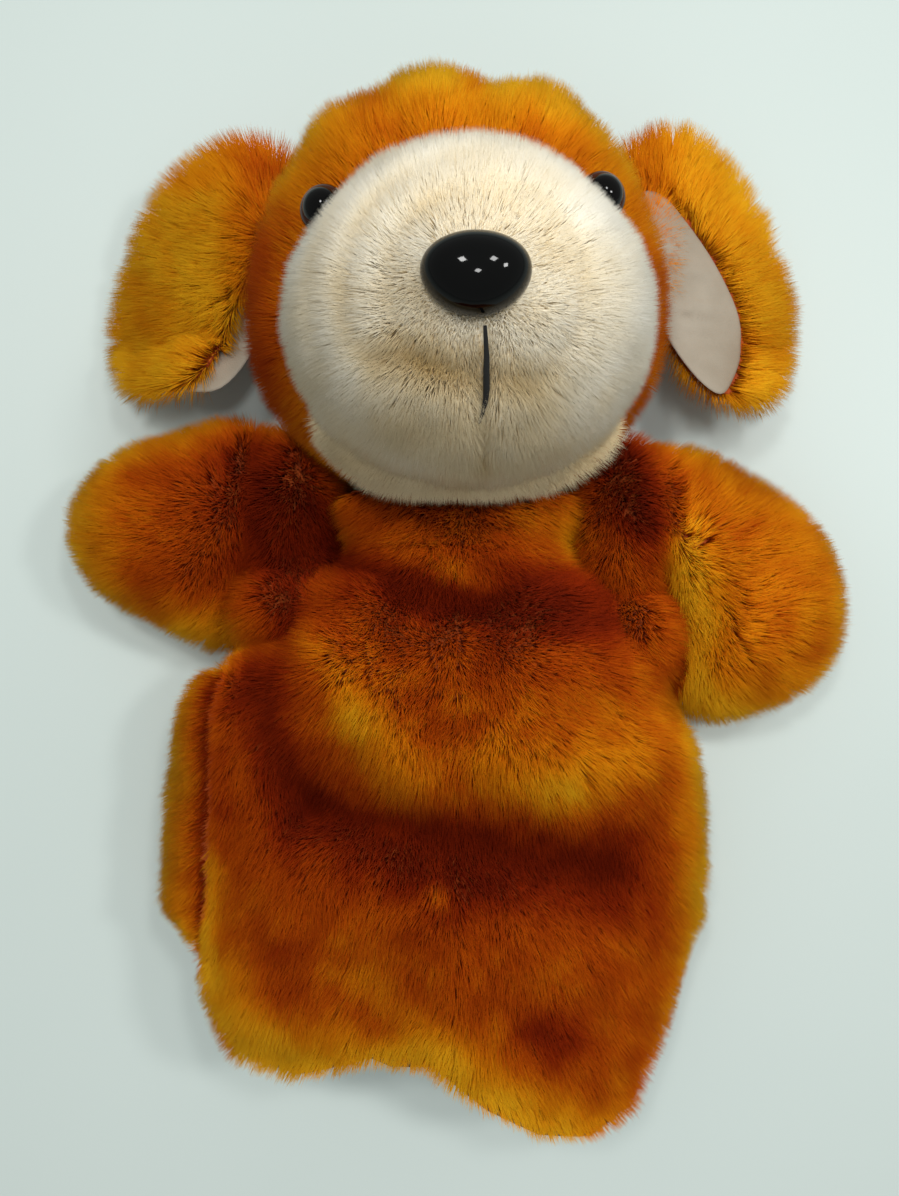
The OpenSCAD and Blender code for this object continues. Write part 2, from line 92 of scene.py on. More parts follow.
def catmull_loop(points, steps):
    """A smooth closed line through the points, with steps to each span."""
    p = np.array(points, float)
    out = []
    for i in range(len(p)):
        a, b, c, d = p[i - 1], p[i], p[(i + 1) % len(p)], p[(i + 2) % len(p)]
        for t in np.arange(steps) / steps:
            square, cube = (2 * a - 5 * b + 4 * c - d) * t * t, (3 * b - a - 3 * c + d) * t**3
            out.append(0.5 * (2 * b + (c - a) * t + square + cube))
    return np.array(out)


def circle(steps):
    return np.arange(steps) * 2 * math.pi / steps


def xyz(*parts):
    """Points or directions from their x, y and z, each an array or one number for all."""
    return np.stack(np.broadcast_arrays(*parts), -1)


def grid_faces(rows, cols, wrap):
    """Quads between rows of points; wrap closes each row into a ring."""
    faces = []
    for i in range(rows - 1):
        for j in range(cols if wrap else cols - 1):
            k = (j + 1) % cols
            faces.append((i * cols + j, i * cols + k, (i + 1) * cols + k, (i + 1) * cols + j))
    return faces


def fan(centre, first, n, back=False):
    """Triangles from one point to a ring of n points that starts at first."""
    pairs = [(first + j, first + (j + 1) % n) for j in range(n)]
    return [(centre, b, a) if back else (centre, a, b) for a, b in pairs]


def smooth_faces(me):
    me.polygons.foreach_set("use_smooth", [True] * len(me.polygons))


def new_object(name, data):
    ob = bpy.data.objects.new(name, data)
    bpy.context.scene.collection.objects.link(ob)
    return ob


def mesh_object(name, verts, faces):
    me = bpy.data.meshes.new(name)
    me.from_pydata([tuple(v) for v in np.asarray(verts, float) * MM], [], faces)
    me.validate()
    bm = bmesh.new()
    bm.from_mesh(me)
    bmesh.ops.recalc_face_normals(bm, faces=bm.faces)
    bm.to_mesh(me)
    bm.free()
    smooth_faces(me)
    return new_object(name, me)


def apply_modifiers(ob):
    bpy.context.view_layer.update()
    deps = bpy.context.evaluated_depsgraph_get()
    me = bpy.data.meshes.new_from_object(ob.evaluated_get(deps))
    ob.modifiers.clear()
    ob.data = me
    smooth_faces(me)


def vectors(items, what):
    out = np.empty(len(items) * 3)
    items.foreach_get(what, out)
    return out.reshape(-1, 3)


def coords(ob):
    return vectors(ob.data.vertices, "co") / MM


def set_coords(ob, co):
    ob.data.vertices.foreach_set("co", (np.asarray(co) * MM).ravel())
    ob.data.update()


def voxel_remesh(ob, voxel):
    remesh = ob.modifiers.new("remesh", "REMESH")
    remesh.mode = "VOXEL"
    remesh.voxel_size = voxel * MM
    apply_modifiers(ob)


PUFF_START = 0.8  # how far in a cover starts, so that it swells back to its size
PUFF_FRAMES = 20


def puff(ob, voxel, pressure, cap):
    """Fills a closed cover like a cushion: a short cloth simulation under pressure, kept within cap."""
    voxel_remesh(ob, voxel)
    first = coords(ob) - vectors(ob.data.vertices, "normal") * PUFF_START
    set_coords(ob, first)
    cloth = ob.modifiers.new("cloth", "CLOTH")
    fabric = cloth.settings
    fabric.quality = 6
    fabric.mass = 0.2
    fabric.tension_stiffness = 12
    fabric.bending_stiffness = 0.6
    fabric.use_pressure = True
    fabric.uniform_pressure_force = pressure
    fabric.effector_weights.gravity = 0
    cloth.point_cache.frame_start, cloth.point_cache.frame_end = 1, PUFF_FRAMES
    scene = bpy.context.scene
    for f in range(1, PUFF_FRAMES + 1):
        scene.frame_set(f)
    swollen = ob.evaluated_get(bpy.context.evaluated_depsgraph_get())
    move = vectors(swollen.to_mesh().vertices, "co") / MM - first
    swollen.to_mesh_clear()
    size = np.linalg.norm(move, axis=1, keepdims=True)
    move *= np.minimum(1, cap / np.maximum(size, 1e-6))
    ob.modifiers.remove(cloth)
    scene.frame_set(1)
    set_coords(ob, first + move)
    sub = ob.modifiers.new("subdivision", "SUBSURF")
    sub.levels = sub.render_levels = 1
    apply_modifiers(ob)


# ---------- materials


def new_material(name):
    m = bpy.data.materials.new(name)
    m.use_nodes = True
    n = m.node_tree.nodes
    return m, n, m.node_tree.links, n["Principled BSDF"]


def ramp(nodes, stops):
    r = nodes.new("ShaderNodeValToRGB")
    e = r.color_ramp.elements
    while len(e) < len(stops):
        e.new(0.5)
    for el, (pos, col) in zip(e, stops):
        el.position = pos
        el.color = (*col, 1)
    return r


def add_node(nodes, kind, **values):
    """A new node with its inputs set; a name's underscores stand for spaces."""
    made = nodes.new("ShaderNode" + kind)
    for key, value in values.items():
        made.inputs[key.replace("_", " ")].default_value = value
    return made


def add_relief(nodes, links, bsdf, height, strength, distance):
    b = add_node(nodes, "Bump", Strength=strength, Distance=distance)
    links.new(height, b.inputs["Height"])
    links.new(b.outputs[0], bsdf.inputs["Normal"])


def fur_material(name, tones, root):
    """Pile: the map's u picks a tone, and its v darkens the strand towards the root."""
    m, n, links, bsdf = new_material(name)
    uv = n.new("ShaderNodeUVMap")
    uv.uv_map = PILE_MAP
    split = n.new("ShaderNodeSeparateXYZ")
    links.new(uv.outputs[0], split.inputs[0])
    a = ramp(n, tones)
    b = ramp(n, [(0.0, root), (0.75, (1.0, 1.0, 1.0))])
    links.new(split.outputs[0], a.inputs[0])
    links.new(split.outputs[1], b.inputs[0])
    mix = n.new("ShaderNodeMix")
    mix.data_type = "RGBA"
    mix.blend_type = "MULTIPLY"
    mix.inputs[0].default_value = 1
    links.new(a.outputs[0], mix.inputs[6])
    links.new(b.outputs[0], mix.inputs[7])
    links.new(mix.outputs[2], bsdf.inputs["Base Color"])
    bsdf.inputs["Roughness"].default_value = 0.65
    bsdf.inputs["Specular IOR Level"].default_value = 0.05
    return m


def noise_material(name, low, high, scale, roughness, bump_scale=None, bump_strength=0.3):
    """A surface whose colour wanders between two tones, with fine relief of its own."""
    m, n, links, bsdf = new_material(name)
    tex = add_node(n, "TexCoord")
    noise = add_node(n, "TexNoise", Scale=scale, Detail=4.0)
    links.new(tex.outputs["Object"], noise.inputs["Vector"])
    r = ramp(n, [(0.3, low), (0.7, high)])
    links.new(noise.outputs[0], r.inputs[0])
    links.new(r.outputs[0], bsdf.inputs["Base Color"])
    bsdf.inputs["Roughness"].default_value = roughness
    if bump_scale:
        fine = add_node(n, "TexNoise", Scale=bump_scale, Detail=3)
        links.new(tex.outputs["Object"], fine.inputs["Vector"])
        add_relief(n, links, bsdf, fine.outputs[0], bump_strength, 0.0006)
    return m


# a wave texture's scale for one band to the metre
WAVE_PER_METRE = 2 * math.pi / 20


def weave_material(name, low, high, threads_per_metre, roughness=0.85):
    """Plain woven cloth: two sets of threads crossing."""
    m, n, links, bsdf = new_material(name)
    tex = add_node(n, "TexCoord")
    mul = add_node(n, "Math")
    mul.operation = "MULTIPLY"
    for k, direction in enumerate("XY"):
        w = add_node(n, "TexWave", Scale=threads_per_metre * WAVE_PER_METRE, Distortion=0.6, Detail=1)
        w.wave_type = "BANDS"
        w.bands_direction = direction
        links.new(tex.outputs["Object"], w.inputs["Vector"])
        links.new(w.outputs["Fac"], mul.inputs[k])
    r = ramp(n, [(0.1, low), (0.8, high)])
    links.new(mul.outputs[0], r.inputs[0])
    links.new(r.outputs[0], bsdf.inputs["Base Color"])
    bsdf.inputs["Roughness"].default_value = roughness
    add_relief(n, links, bsdf, mul.outputs[0], 0.5, 0.0004)
    return m


M_FUR = fur_material(
    "golden_pile",
    [
        (0.0, (0.14, 0.008, 0.0002)), (0.25, (0.30, 0.024, 0.0003)), (0.5, (0.54, 0.090, 0.0008)),
        (0.75, (0.80, 0.280, 0.003)), (1.0, (0.90, 0.48, 0.012)),
    ],
    (0.72, 0.46, 0.28),
)
M_CREAM = fur_material(
    "cream_pile",
    [(0.0, (0.62, 0.44, 0.19)), (0.5, (0.88, 0.74, 0.49)), (1.0, (0.99, 0.95, 0.84))],
    (0.97, 0.93, 0.86),
)
M_BACKING = noise_material("fur_backing", (0.26, 0.030, 0.0006), (0.46, 0.075, 0.0012), 180, 0.9, 1500, 0.6)
M_CREAM_BACKING = noise_material("cream_backing", (0.80, 0.70, 0.52), (0.92, 0.83, 0.68), 180, 0.9, 1500, 0.6)
M_LINING = weave_material("dark_woven_lining", (0.018, 0.018, 0.022), (0.055, 0.055, 0.065), 1400)
M_TAPE = weave_material("hem_tape", (0.02, 0.02, 0.024), (0.07, 0.07, 0.08), 2200)
M_THREAD = weave_material("black_thread", (0.001, 0.001, 0.001), (0.006, 0.006, 0.006), 4000, 0.9)
M_EAR = noise_material("ear_lining", (0.26, 0.205, 0.145), (0.38, 0.325, 0.255), 35, 0.75, 2600, 0.35)
M_CARD = noise_material("card_tube", (0.34, 0.24, 0.14), (0.46, 0.34, 0.21), 90, 0.8, 900, 0.3)
M_WASHER = noise_material("washer_plastic", (0.66, 0.66, 0.64), (0.78, 0.78, 0.76), 60, 0.35, 300, 0.1)


def gloss_material(name, low, high, rough=0.06):
    """Black or brown plastic, polished, with only a faint wander in its tone."""
    m = noise_material(name, low, high, 40, rough, 240, 0.05)
    m.node_tree.nodes["Principled BSDF"].inputs["Specular IOR Level"].default_value = 0.14
    return m


M_NOSE = gloss_material("nose_plastic", (0.001, 0.001, 0.001), (0.002, 0.002, 0.002))
M_PUPIL = gloss_material("eye_pupil", (0.001, 0.001, 0.001), (0.003, 0.002, 0.002), 0.04)
M_IRIS = gloss_material("eye_rim", (0.020, 0.004, 0.001), (0.060, 0.012, 0.002), 0.06)


# ---------- pile


class Skin:
    """The triangles of one piece of cloth, for its pile to grow from."""

    def __init__(self, ob):
        me = ob.data
        me.calc_loop_triangles()
        tri = np.empty(len(me.loop_triangles) * 3, np.int32)
        me.loop_triangles.foreach_get("vertices", tri)
        self.tri = tri.reshape(-1, 3)
        self.co = coords(ob)
        self.no = vectors(me.vertices, "normal")
        a, b, c = (self.co[self.tri[:, k]] for k in range(3))
        across = np.cross(b - a, c - a)
        self.area = np.linalg.norm(across, axis=1) / 2
        self.facing = unit(across)
        self.mid = (a + b + c) / 3


NOISE_TABLE = 4096  # a power of two, so that a hash is cut to it with its last bits
NOISE_PRIMES = 73856093, 19349663, 83492791


def value_noise(p, scale, seed):
    """Smooth noise in 0..1 at points p, the same on every run."""
    table = np.random.default_rng(seed).random(NOISE_TABLE)
    q = np.asarray(p, float) / scale
    i = np.floor(q).astype(np.int64)
    f = q - i
    f = f * f * (3 - 2 * f)
    out = np.zeros(len(q))
    for corner in itertools.product((0, 1), repeat=3):
        x, y, z = ((i[:, k] + corner[k]) * NOISE_PRIMES[k] for k in range(3))
        u, v, w = (f[:, k] if corner[k] else 1 - f[:, k] for k in range(3))
        out += u * v * w * table[(x ^ y ^ z) & (NOISE_TABLE - 1)]
    return out


def search_tree(points):
    tree = KDTree(len(points))
    for k, q in enumerate(points):
        tree.insert(q, k)
    tree.balance()
    return tree


STRANDS_PER_MESH = 45000
FEWEST_STRANDS = 20
# the patches in which the pile is brushed to a side, leans and changes tone: size in mm, and the noise's seed
SWIRL, LEAN, TONE = (10.0, 501), (7.0, 502), (5.5, 503)
ROOT_DEPTH = 0.5  # how far a strand starts below the cloth
FLOOR_GAP = 0.1


def grow(name, ob, look, seed, material, density=7.0, width=0.26, clump=0.22, clump_size=10):
    """Pile on a skin, as closed three-sided spikes in one or more meshes.

    look(p, n) gives for each root its combed direction, length, lean, tone and share of the density.
    """
    skin = Skin(ob)
    rng = np.random.default_rng(seed)
    share = skin.area * look(skin.mid, skin.facing)[4]
    count = int(share.sum() * density * DENSITY)
    if count < FEWEST_STRANDS:
        return []
    pick = rng.choice(len(share), count, p=share / share.sum())
    s, r2 = np.sqrt(rng.random(count)), rng.random(count)
    bary = np.stack([1 - s, s * (1 - r2), s * r2], 1)
    t = skin.tri[pick]
    p = np.einsum("nk,nkd->nd", bary, skin.co[t])
    nor = unit(np.einsum("nk,nkd->nd", bary, skin.no[t]))
    order = np.argsort(p[:, 0] + 0.31 * p[:, 1])
    p, nor = p[order], nor[order]
    comb, length, lean, tone, _ = look(p, nor)
    comb = comb - nor * np.sum(comb * nor, 1, keepdims=True)
    comb = unit(comb)
    side = np.cross(nor, comb)
    # brushed patches, the same across the cuts between pieces
    swirl = value_noise(p, *SWIRL) - 0.5
    comb = unit(comb + side * (swirl[:, None] * 1.3) + 0.22 * rng.normal(size=p.shape))
    lean = np.clip(lean + 0.36 * (value_noise(p, *LEAN) - 0.5), 0.03, 1.35)[:, None]
    tone = np.clip(tone + 0.14 * (value_noise(p, *TONE) - 0.5), 0.02, 0.98)
    length = (length * (0.80 + 0.26 * rng.random(count)))[:, None]
    d = unit(nor + comb * np.tan(np.clip(lean, 0, 1.3)) + 0.12 * rng.normal(size=p.shape))
    tip = p + d * length
    # strands draw together into small tufts
    tufts = max(2, int(count / (clump_size * density * max(DENSITY, 0.5))))
    lead = rng.choice(count, tufts, replace=False)
    tree = search_tree(p[lead])
    near = np.fromiter((tree.find(q)[1] for q in p.tolist()), np.int64, count)
    pull = clump * (0.3 + 0.7 * tone)[:, None] * (0.4 + 1.2 * rng.random(len(lead)))[near][:, None]
    tip = tip + (tip[lead][near] - tip) * np.clip(pull, 0, 0.7)
    # a tip that would go through the floor lies on it
    ground = 0.25 + 0.9 * rng.random(count)
    low = tip[:, 2] < ground
    tip[low, 2] = ground[low]
    w = width * (0.8 + 0.4 * rng.random(count))[:, None]
    axis = unit(tip - p)
    u = unit(np.cross(axis, rng.normal(size=p.shape)))
    v = np.cross(axis, u)
    rings = []
    for turn in map(math.radians, (0, 120, 240)):
        q = p - nor * ROOT_DEPTH + (u * math.cos(turn) + v * math.sin(turn)) * w * 0.5
        q[:, 2] = np.maximum(q[:, 2], FLOOR_GAP)
        rings.append(q)
    verts = np.stack([*rings, tip], 1)
    pattern = np.array([[0, 1, 3], [1, 2, 3], [2, 0, 3], [2, 1, 0]], np.int32)
    tone = tone + 0.16 * (rng.random(count) - 0.5) + 0.16 * (value_noise(p, 5, seed + 3) - 0.5)
    tone = np.clip(tone, 0.02, 0.98)
    sway = np.array([-0.004, 0, 0.004, 0])
    rise = np.array([0.03, 0.03, 0.03, 0.97])
    uv = np.stack([tone[:, None] + sway[None], np.broadcast_to(rise, (count, 4))], 2)
    made = []
    for k, first in enumerate(range(0, count, STRANDS_PER_MESH)):
        some = slice(first, min(count, first + STRANDS_PER_MESH))
        n = some.stop - some.start
        tris = (pattern[None] + 4 * np.arange(n, dtype=np.int32)[:, None, None]).reshape(-1, 3)
        me = bpy.data.meshes.new(f"{name}_{k}")
        me.vertices.add(4 * n)
        me.vertices.foreach_set("co", (verts[some] * MM).ravel())
        me.loops.add(tris.size)
        me.loops.foreach_set("vertex_index", tris.ravel())
        me.polygons.add(len(tris))
        me.polygons.foreach_set("loop_start", np.arange(0, tris.size, 3, dtype=np.int32))
        me.update(calc_edges=True)
        layer = me.uv_layers.new(name=PILE_MAP)
        layer.data.foreach_set("uv", uv[some].reshape(-1, 2)[tris.ravel()].ravel())
        smooth_faces(me)
        me.materials.append(material)
        made.append(new_object(f"{name}_{k}", me))
    return made


# ---------- the glove: body, arms and shoulders

# where each arm turns on the body, as in the CAD
LEFT_PIVOT = -50, 5, 14
RIGHT_PIVOT = 50, -2, 14
ARM_HEIGHT = 34
SEAM_Z = 11.0
INSET = 3.2  # the cloth lies this far inside the CAD, to leave room for the pile
# where the arms' cloth meets the body's side, and how the cut slopes on each side
ARMPIT_X, UNDER_ARM = 41, -9
LEFT_SLOPE, RIGHT_SLOPE = 0.16, 0.85

BODY_Y = [14, 11, -4, -9, -13, -22, -33, -52, -82, -110, -128]
BODY_LEFT = [-24, -42, -49, -61, -71, -77, -79, -81, -83, -76, -72]
BODY_RIGHT = [24, 42, 52, 56, 58, 60, 66, 69, 69, 63, 60]
BODY_TOP = [38, 44, 48, 49, 49, 49, 48, 46, 43, 40, 39]
# the cloth is cut across at each shoulder, and at the hem
SHOULDER_IN, SHOULDER_MID, SHOULDER_OUT = 40, 50, 60
HEM_CUT = -110
HEM_C = [-1, -0.89, -0.865, -0.75, -0.5, -0.2, 0, 0.2, 0.4, 0.6, 0.75, 0.88, 1]
HEM_Y = [-84, -88, -100, -113, -116, -110, -112, -123, -130, -132, -127, -110, -88]


def body_at(table, y):
    return np.interp(-np.asarray(y, float), [-v for v in BODY_Y], table)


def body_ring(y, off, steps=48):
    left, right, top = (float(body_at(t, y)) for t in (BODY_LEFT, BODY_RIGHT, BODY_TOP))
    mid, w = (left + right) / 2, (right - left) / 2 - off
    c, s = sgn_pow(np.cos(circle(steps)), 0.75), np.sin(circle(steps))
    up = SEAM_Z + (top - SEAM_Z - off) * np.abs(s) ** 0.8
    down = np.maximum(off, SEAM_Z - (SEAM_Z - off) * 1.3 * np.abs(s) ** 0.7)
    return xyz(mid + w * c, y, np.where(s >= 0, up, down))


def closed_tube(rings):
    """Rings of points joined into a closed solid, each end drawn in to its middle."""
    n, total = len(rings[0]), sum(len(ring) for ring in rings)
    verts = np.concatenate([*rings, rings[0].mean(0)[None], rings[-1].mean(0)[None]])
    ends = fan(total, 0, n, back=True) + fan(total + 1, total - n, n)
    return verts, grid_faces(len(rings), n, True) + ends


ARM_LEFT = catmull_loop([
    (-47, 4), (-47, 30), (-49, 52), (-60, 59), (-82, 54), (-99, 47), (-108, 36),
    (-109.5, 25), (-103, 12), (-88, 3), (-73, -4), (-58, -7)], 3)
ARM_RIGHT = catmull_loop([
    (47, 4), (49, -12), (61, -22), (74, -27), (91, -22), (104, -13),
    (109.5, 2), (107, 19), (97, 33), (80, 44), (62, 51), (48, 48)], 3)


def arm_solid(line, pivot):
    """An arm in its outline: domed above, higher away from its root, and flat where it lies on the table."""
    c = line.mean(0)
    line = line - unit(line - c) * INSET
    shares = [0.02, 0.3, 0.5, 0.68, 0.82, 0.92, 0.98, 1.0]
    edge_z = 9
    rings = []
    for k in shares:
        x, y = (c + (line - c) * k).T
        high = np.minimum(ARM_HEIGHT, 19 + 0.7 * np.maximum(0, np.hypot(x - pivot[0], y - pivot[1]) - 4))
        rings.append(xyz(x, y, edge_z + (high - edge_z - INSET) * np.sqrt(max(0, 1 - k**2.4))))
    for k in shares[-2::-1]:
        x, y = (c + (line - c) * k).T
        rings.append(xyz(x, y, INSET + (edge_z - INSET) * max(0, (k - 0.74) / 0.26) ** 2))
    return closed_tube(rings)


def ellipsoid(centre, radii, rows=14, cols=24):
    b, a = np.meshgrid(np.linspace(0.02, math.pi - 0.02, rows), circle(cols), indexing="ij")
    v = xyz(np.sin(b) * np.cos(a), np.sin(b) * np.sin(a), np.cos(b)).reshape(-1, 3)
    faces = grid_faces(rows, cols, True)
    faces.append(tuple(range(cols)))
    faces.append(tuple((rows - 1) * cols + j for j in reversed(range(cols))))
    return v * np.array(radii) + np.array(centre), faces


def joined(name, parts):
    verts, faces, n = [], [], 0
    for v, f in parts:
        verts.append(v)
        faces += [tuple(i + n for i in q) for q in f]
        n += len(v)
    return mesh_object(name, np.concatenate(verts), faces)


ys = np.concatenate([[14], np.linspace(13, -33, 18), np.linspace(-38, -124, 20)])
glove = joined("glove_skin", [
    closed_tube([body_ring(y, INSET) for y in ys]),
    arm_solid(ARM_LEFT, LEFT_PIVOT),
    arm_solid(ARM_RIGHT, RIGHT_PIVOT),
    ellipsoid((-47, 4, 18), (14, 13, 14)),
    ellipsoid((47, -2, 18), (14, 14, 14)),
    ellipsoid((-46, 30, 16), (13, 24, 13)),
    ellipsoid((46, 26, 16), (13, 26, 13)),
    ellipsoid((0, 14, 22), (30, 14, 18)),
])
voxel_remesh(glove, 2.6)
smooth = glove.modifiers.new("smooth", "SMOOTH")
smooth.factor = 0.6
smooth.iterations = 7
apply_modifiers(glove)


def streak(p, a, b, width):
    """1 on the line a-b in plan, falling off softly to 0 over about width on each side."""
    a, b = np.array(a, float), np.array(b, float)
    t = np.clip(((p[:, :2] - a) @ (b - a)) / max((b - a) @ (b - a), 1e-9), 0, 1)
    d = np.linalg.norm(p[:, :2] - (a + t[:, None] * (b - a)), axis=1)
    return np.exp(-((d / width) ** 2))


SIDE_SEAM = ((-64, -12), (-66, -50), (-69, -90))


def side_seam(p, width):
    upper, lower = (streak(p, *SIDE_SEAM[k:k + 2], width) for k in (0, 1))
    return np.maximum(upper, lower)


def folds(p):
    """How deep the glove's cloth dips at p: broad folds over the body and creases at the arms' roots."""
    d = 3.5 * streak(p, (-38, 24), (-8, 9), 9) + 3.0 * streak(p, (-6, 8), (40, 2), 10)
    d += 3.0 * streak(p, (-52, -16), (-38, -44), 8) + 5.5 * streak(p, (-36, -46), (34, -60), 12)
    d -= 3.0 * streak(p, (-34, -4), (-10, -34), 7) + 2.5 * streak(p, (8, -30), (44, -33), 9)
    d -= 2.5 * streak(p, (-50, -98), (-10, -108), 12) + 2.5 * streak(p, (10, -104), (40, -124), 13)
    d += 1.5 * streak(p, (-46, -4), (-44, 22), 5) + 2.6 * streak(p, (56, 18), (63, -18), 3.0)
    d += 3.4 * side_seam(p, 2.8)
    d += 2.4 * (value_noise(p, 21, 5) - 0.5)
    return d


def hem_shift(p):
    """Brings the straight hem to its wavy line."""
    left, right = body_at(BODY_LEFT, p[:, 1]), body_at(BODY_RIGHT, p[:, 1])
    c = np.clip((p[:, 0] - (left + right) / 2) / ((right - left) / 2), -1, 1)
    v = np.clip((-22 - p[:, 1]) / 88, 0, 1.2)
    return (np.interp(c, HEM_C, HEM_Y) - HEM_CUT) * v**3


def upper_side(p):
    """From 0 on the underside and the side seams to 1 on the top, where the folds show."""
    return ease(p[:, 2], 14, 26)


def cut_glove(x, y, normal, clear=False):
    bm = bmesh.new()
    bm.from_mesh(glove.data)
    bmesh.ops.bisect_plane(
        bm, geom=bm.verts[:] + bm.edges[:] + bm.faces[:],
        plane_co=Vector((x, y, 0)) * MM, plane_no=Vector(normal), clear_outer=clear)
    bm.to_mesh(glove.data)
    bm.free()


co = coords(glove)
co[:, 2] -= folds(co) * upper_side(co)
set_coords(glove, co)
cut_glove(0, HEM_CUT, (0, -1, 0), clear=True)
co = coords(glove)
co[:, 1] += hem_shift(co)
set_coords(glove, co)
for x in (SHOULDER_IN, SHOULDER_MID, SHOULDER_OUT):
    cut_glove(x, 0, (1, 0, 0))
    cut_glove(-x, 0, (1, 0, 0))
cut_glove(-ARMPIT_X, UNDER_ARM, (LEFT_SLOPE, -1, 0))
cut_glove(ARMPIT_X, UNDER_ARM, (RIGHT_SLOPE, 1, 0))


def part_of(mid):
    """Which piece of cloth a face of the glove belongs to, from its middle."""
    x, y, out = mid[0], mid[1], abs(mid[0])
    if x < 0:
        torso = y < UNDER_ARM - LEFT_SLOPE * (out - ARMPIT_X)
    else:
        torso = (y < UNDER_ARM - RIGHT_SLOPE * (out - ARMPIT_X) and x < 68) or (x < 72 and y < -30)
    if torso or out < SHOULDER_IN:
        return "torso"
    side = "left" if x < 0 else "right"
    return side + ("_a" if out < SHOULDER_MID else "_b" if out < SHOULDER_OUT else "_arm")


# the glove's skin, cut into its pieces of cloth, each facing the way the whole skin does
whole = Skin(glove)
whole_tree = search_tree(whole.co)
groups = {}
for face in glove.data.polygons:
    corners = list(face.vertices)
    groups.setdefault(part_of(whole.co[corners].mean(0)), []).append(corners)
skins = {}
for key, faces in groups.items():
    used = sorted({i for f in faces for i in f})
    where = {v: k for k, v in enumerate(used)}
    ob = mesh_object("skin_" + key, whole.co[used], [tuple(where[i] for i in f) for f in faces])
    piece = Skin(ob)
    some = range(0, len(piece.co), 7)
    if sum(piece.no[k] @ whole.no[whole_tree.find(piece.co[k])[1]] for k in some) < 0:
        ob.data.flip_normals()
    skins[key] = ob


# golden streaks, and below them dark red ones, partly the pile's own tone and partly painted light and shade:
# painted light on the folds' ridges and the arms' edges, painted shade in the folds' valleys and the creases
# at the arms' roots. For each: where a streak runs from and to, its width, and its change of tone
TONE_AND_SHADE_STREAKS = (
    (-66, -88, -46, -112, 10, 0.42), (-46, -110, -6, -112, 11, 0.42), (-4, -112, 24, -132, 12, 0.42),
    (24, -130, 42, -126, 10, 0.14), (-78, -24, -82, -84, 10, 0.38), (64, -28, 66, -84, 8, 0.38),
    (62, -84, 52, -106, 6, 0.14), (-34, -3, -22, -20, 4.0, 0.24), (-22, -20, -10, -34, 7, 0.22),
    (10, -31, 26, -36, 8, 0.26), (26, -36, 44, -32, 7, 0.18), (24, -18, 40, -24, 9, 0.12),
    (-26, 27, -2, 17, 5, 0.20), (-2, 17, 10, 13, 3.5, 0.22), (18, 34, 26, 24, 7, 0.12),
    (60, 24, 63, 6, 5.5, 0.34), (63, 0, 66, -18, 6, 0.36), (-64, -58, -66, -86, 4, 0.26),
    (-5, -66, -4, -67, 3, 0.34), (-30, -84, -18, -88, 6, 0.16), (-56, -2, -70, 2, 7, 0.22),
    (-54, 40, -38, 24, 13, -0.40), (-66, 18, -52, 24, 10, -0.16), (-38, 24, -8, 11, 8, -0.42),
    (-6, 9, 36, 2, 9, -0.40), (14, 14, 34, 12, 6, -0.20), (44, 46, 50, 30, 8, -0.42),
    (57, 14, 61, -16, 3.0, -0.40), (-46, 10, -34, -2, 7, -0.20), (2, 12, 14, 6, 7, -0.16),
    (-50, -14, -38, -42, 9, -0.30), (-46, 4, -44, -12, 7, -0.14), (-38, -46, 0, -56, 11, -0.42),
    (0, -56, 34, -60, 12, -0.42), (40, -50, 48, -70, 8, -0.10), (20, -102, 24, -104, 7, -0.34),
    (-44, -82, -40, -88, 7, -0.16), (-60, -20, -62, -50, 5, -0.12),
)


def glove_tone_and_shade(p, n):
    """From 0, dark red, to 1, golden: painted shade in the folds and where the pile points up, painted light
    where it lies over, on top of the pile's own uneven tone.
    """
    x, y = p.T[:2]
    # painted light: more golden where the cloth turns away from facing up, darker where it faces up
    t = 0.47 + 0.34 * (1 - np.clip(n[:, 2], 0, 1)) ** 1.5
    for ax, ay, bx, by, width, change in TONE_AND_SHADE_STREAKS:
        t = t + change * streak(p, (ax, ay), (bx, by), width)
    # the arms more golden towards their ends and along their edges: partly the pile's own tone, partly
    # painted light
    arm_l = ease(-x, 56, 66) * ease(y, -14, -4)
    arm_r = ease(x, 56, 64) * ease(y, -32, -24)
    upper, lower = 0.20 * ease(y, 38, 52), 0.16 * ease(-y, -14, 0)
    t = t + arm_l * (0.38 * ease(-x, 78, 102) + upper + lower)
    t = t + arm_r * (0.16 + 0.16 * ease(x, 92, 106) + 0.16 * ease(-y, 6, 20))
    return np.clip(t, 0.04, 0.96), arm_l, arm_r


def glove_look(p, n):
    """How the pile lies on the body and arms."""
    x, y = p.T[:2]
    # t is the pile's tone, with its painted light and shade
    t, arm_l, arm_r = glove_tone_and_shade(p, n)
    comb = xyz(0.25 * np.sign(x), -1, -0.1)
    comb = comb * (1 - arm_l - arm_r)[:, None]
    comb = comb + unit(xyz(x + 50, 0.35 * (y - 25), -6)) * arm_l[:, None]
    comb = comb + unit(xyz(x - 50, 0.35 * (y - 8), -6)) * arm_r[:, None]
    # the pile parts at the left side seam
    part = side_seam(p, 8)
    seam_x = np.interp(-y, [-q[1] for q in SIDE_SEAM], [q[0] for q in SIDE_SEAM])
    comb = comb + xyz(1.8 * np.sign(x - seam_x), 0, 0) * part[:, None] * (x < -45)[:, None]
    lean = 0.42 + 0.34 * t + 0.25 * part
    near_hem = ease(np.interp((x + 6) / 66, HEM_C, HEM_Y) - y, -14, 0) * ease(-y, 60, 80)
    length = (7.2 + 1.8 * t - 2.0 * side_seam(p, 3)) * (1 - 0.36 * near_hem)
    lean = lean * (1 - 0.45 * near_hem)
    t = t - 0.35 * side_seam(p, 1.8) * (y < -14)
    # the underside, which lies on the table, is thinner and plainer
    under = n[:, 2] < -0.5
    weight = np.where(under, 0.16, np.where(n[:, 2] < 0, 0.6, 1.0))
    weight = weight * (1 - 0.9 * side_seam(p, 1.0) * (n[:, 2] > 0))
    return comb, np.where(under, 6.0, length), lean, np.where(under, 0.55, t), weight


# ---------- neck

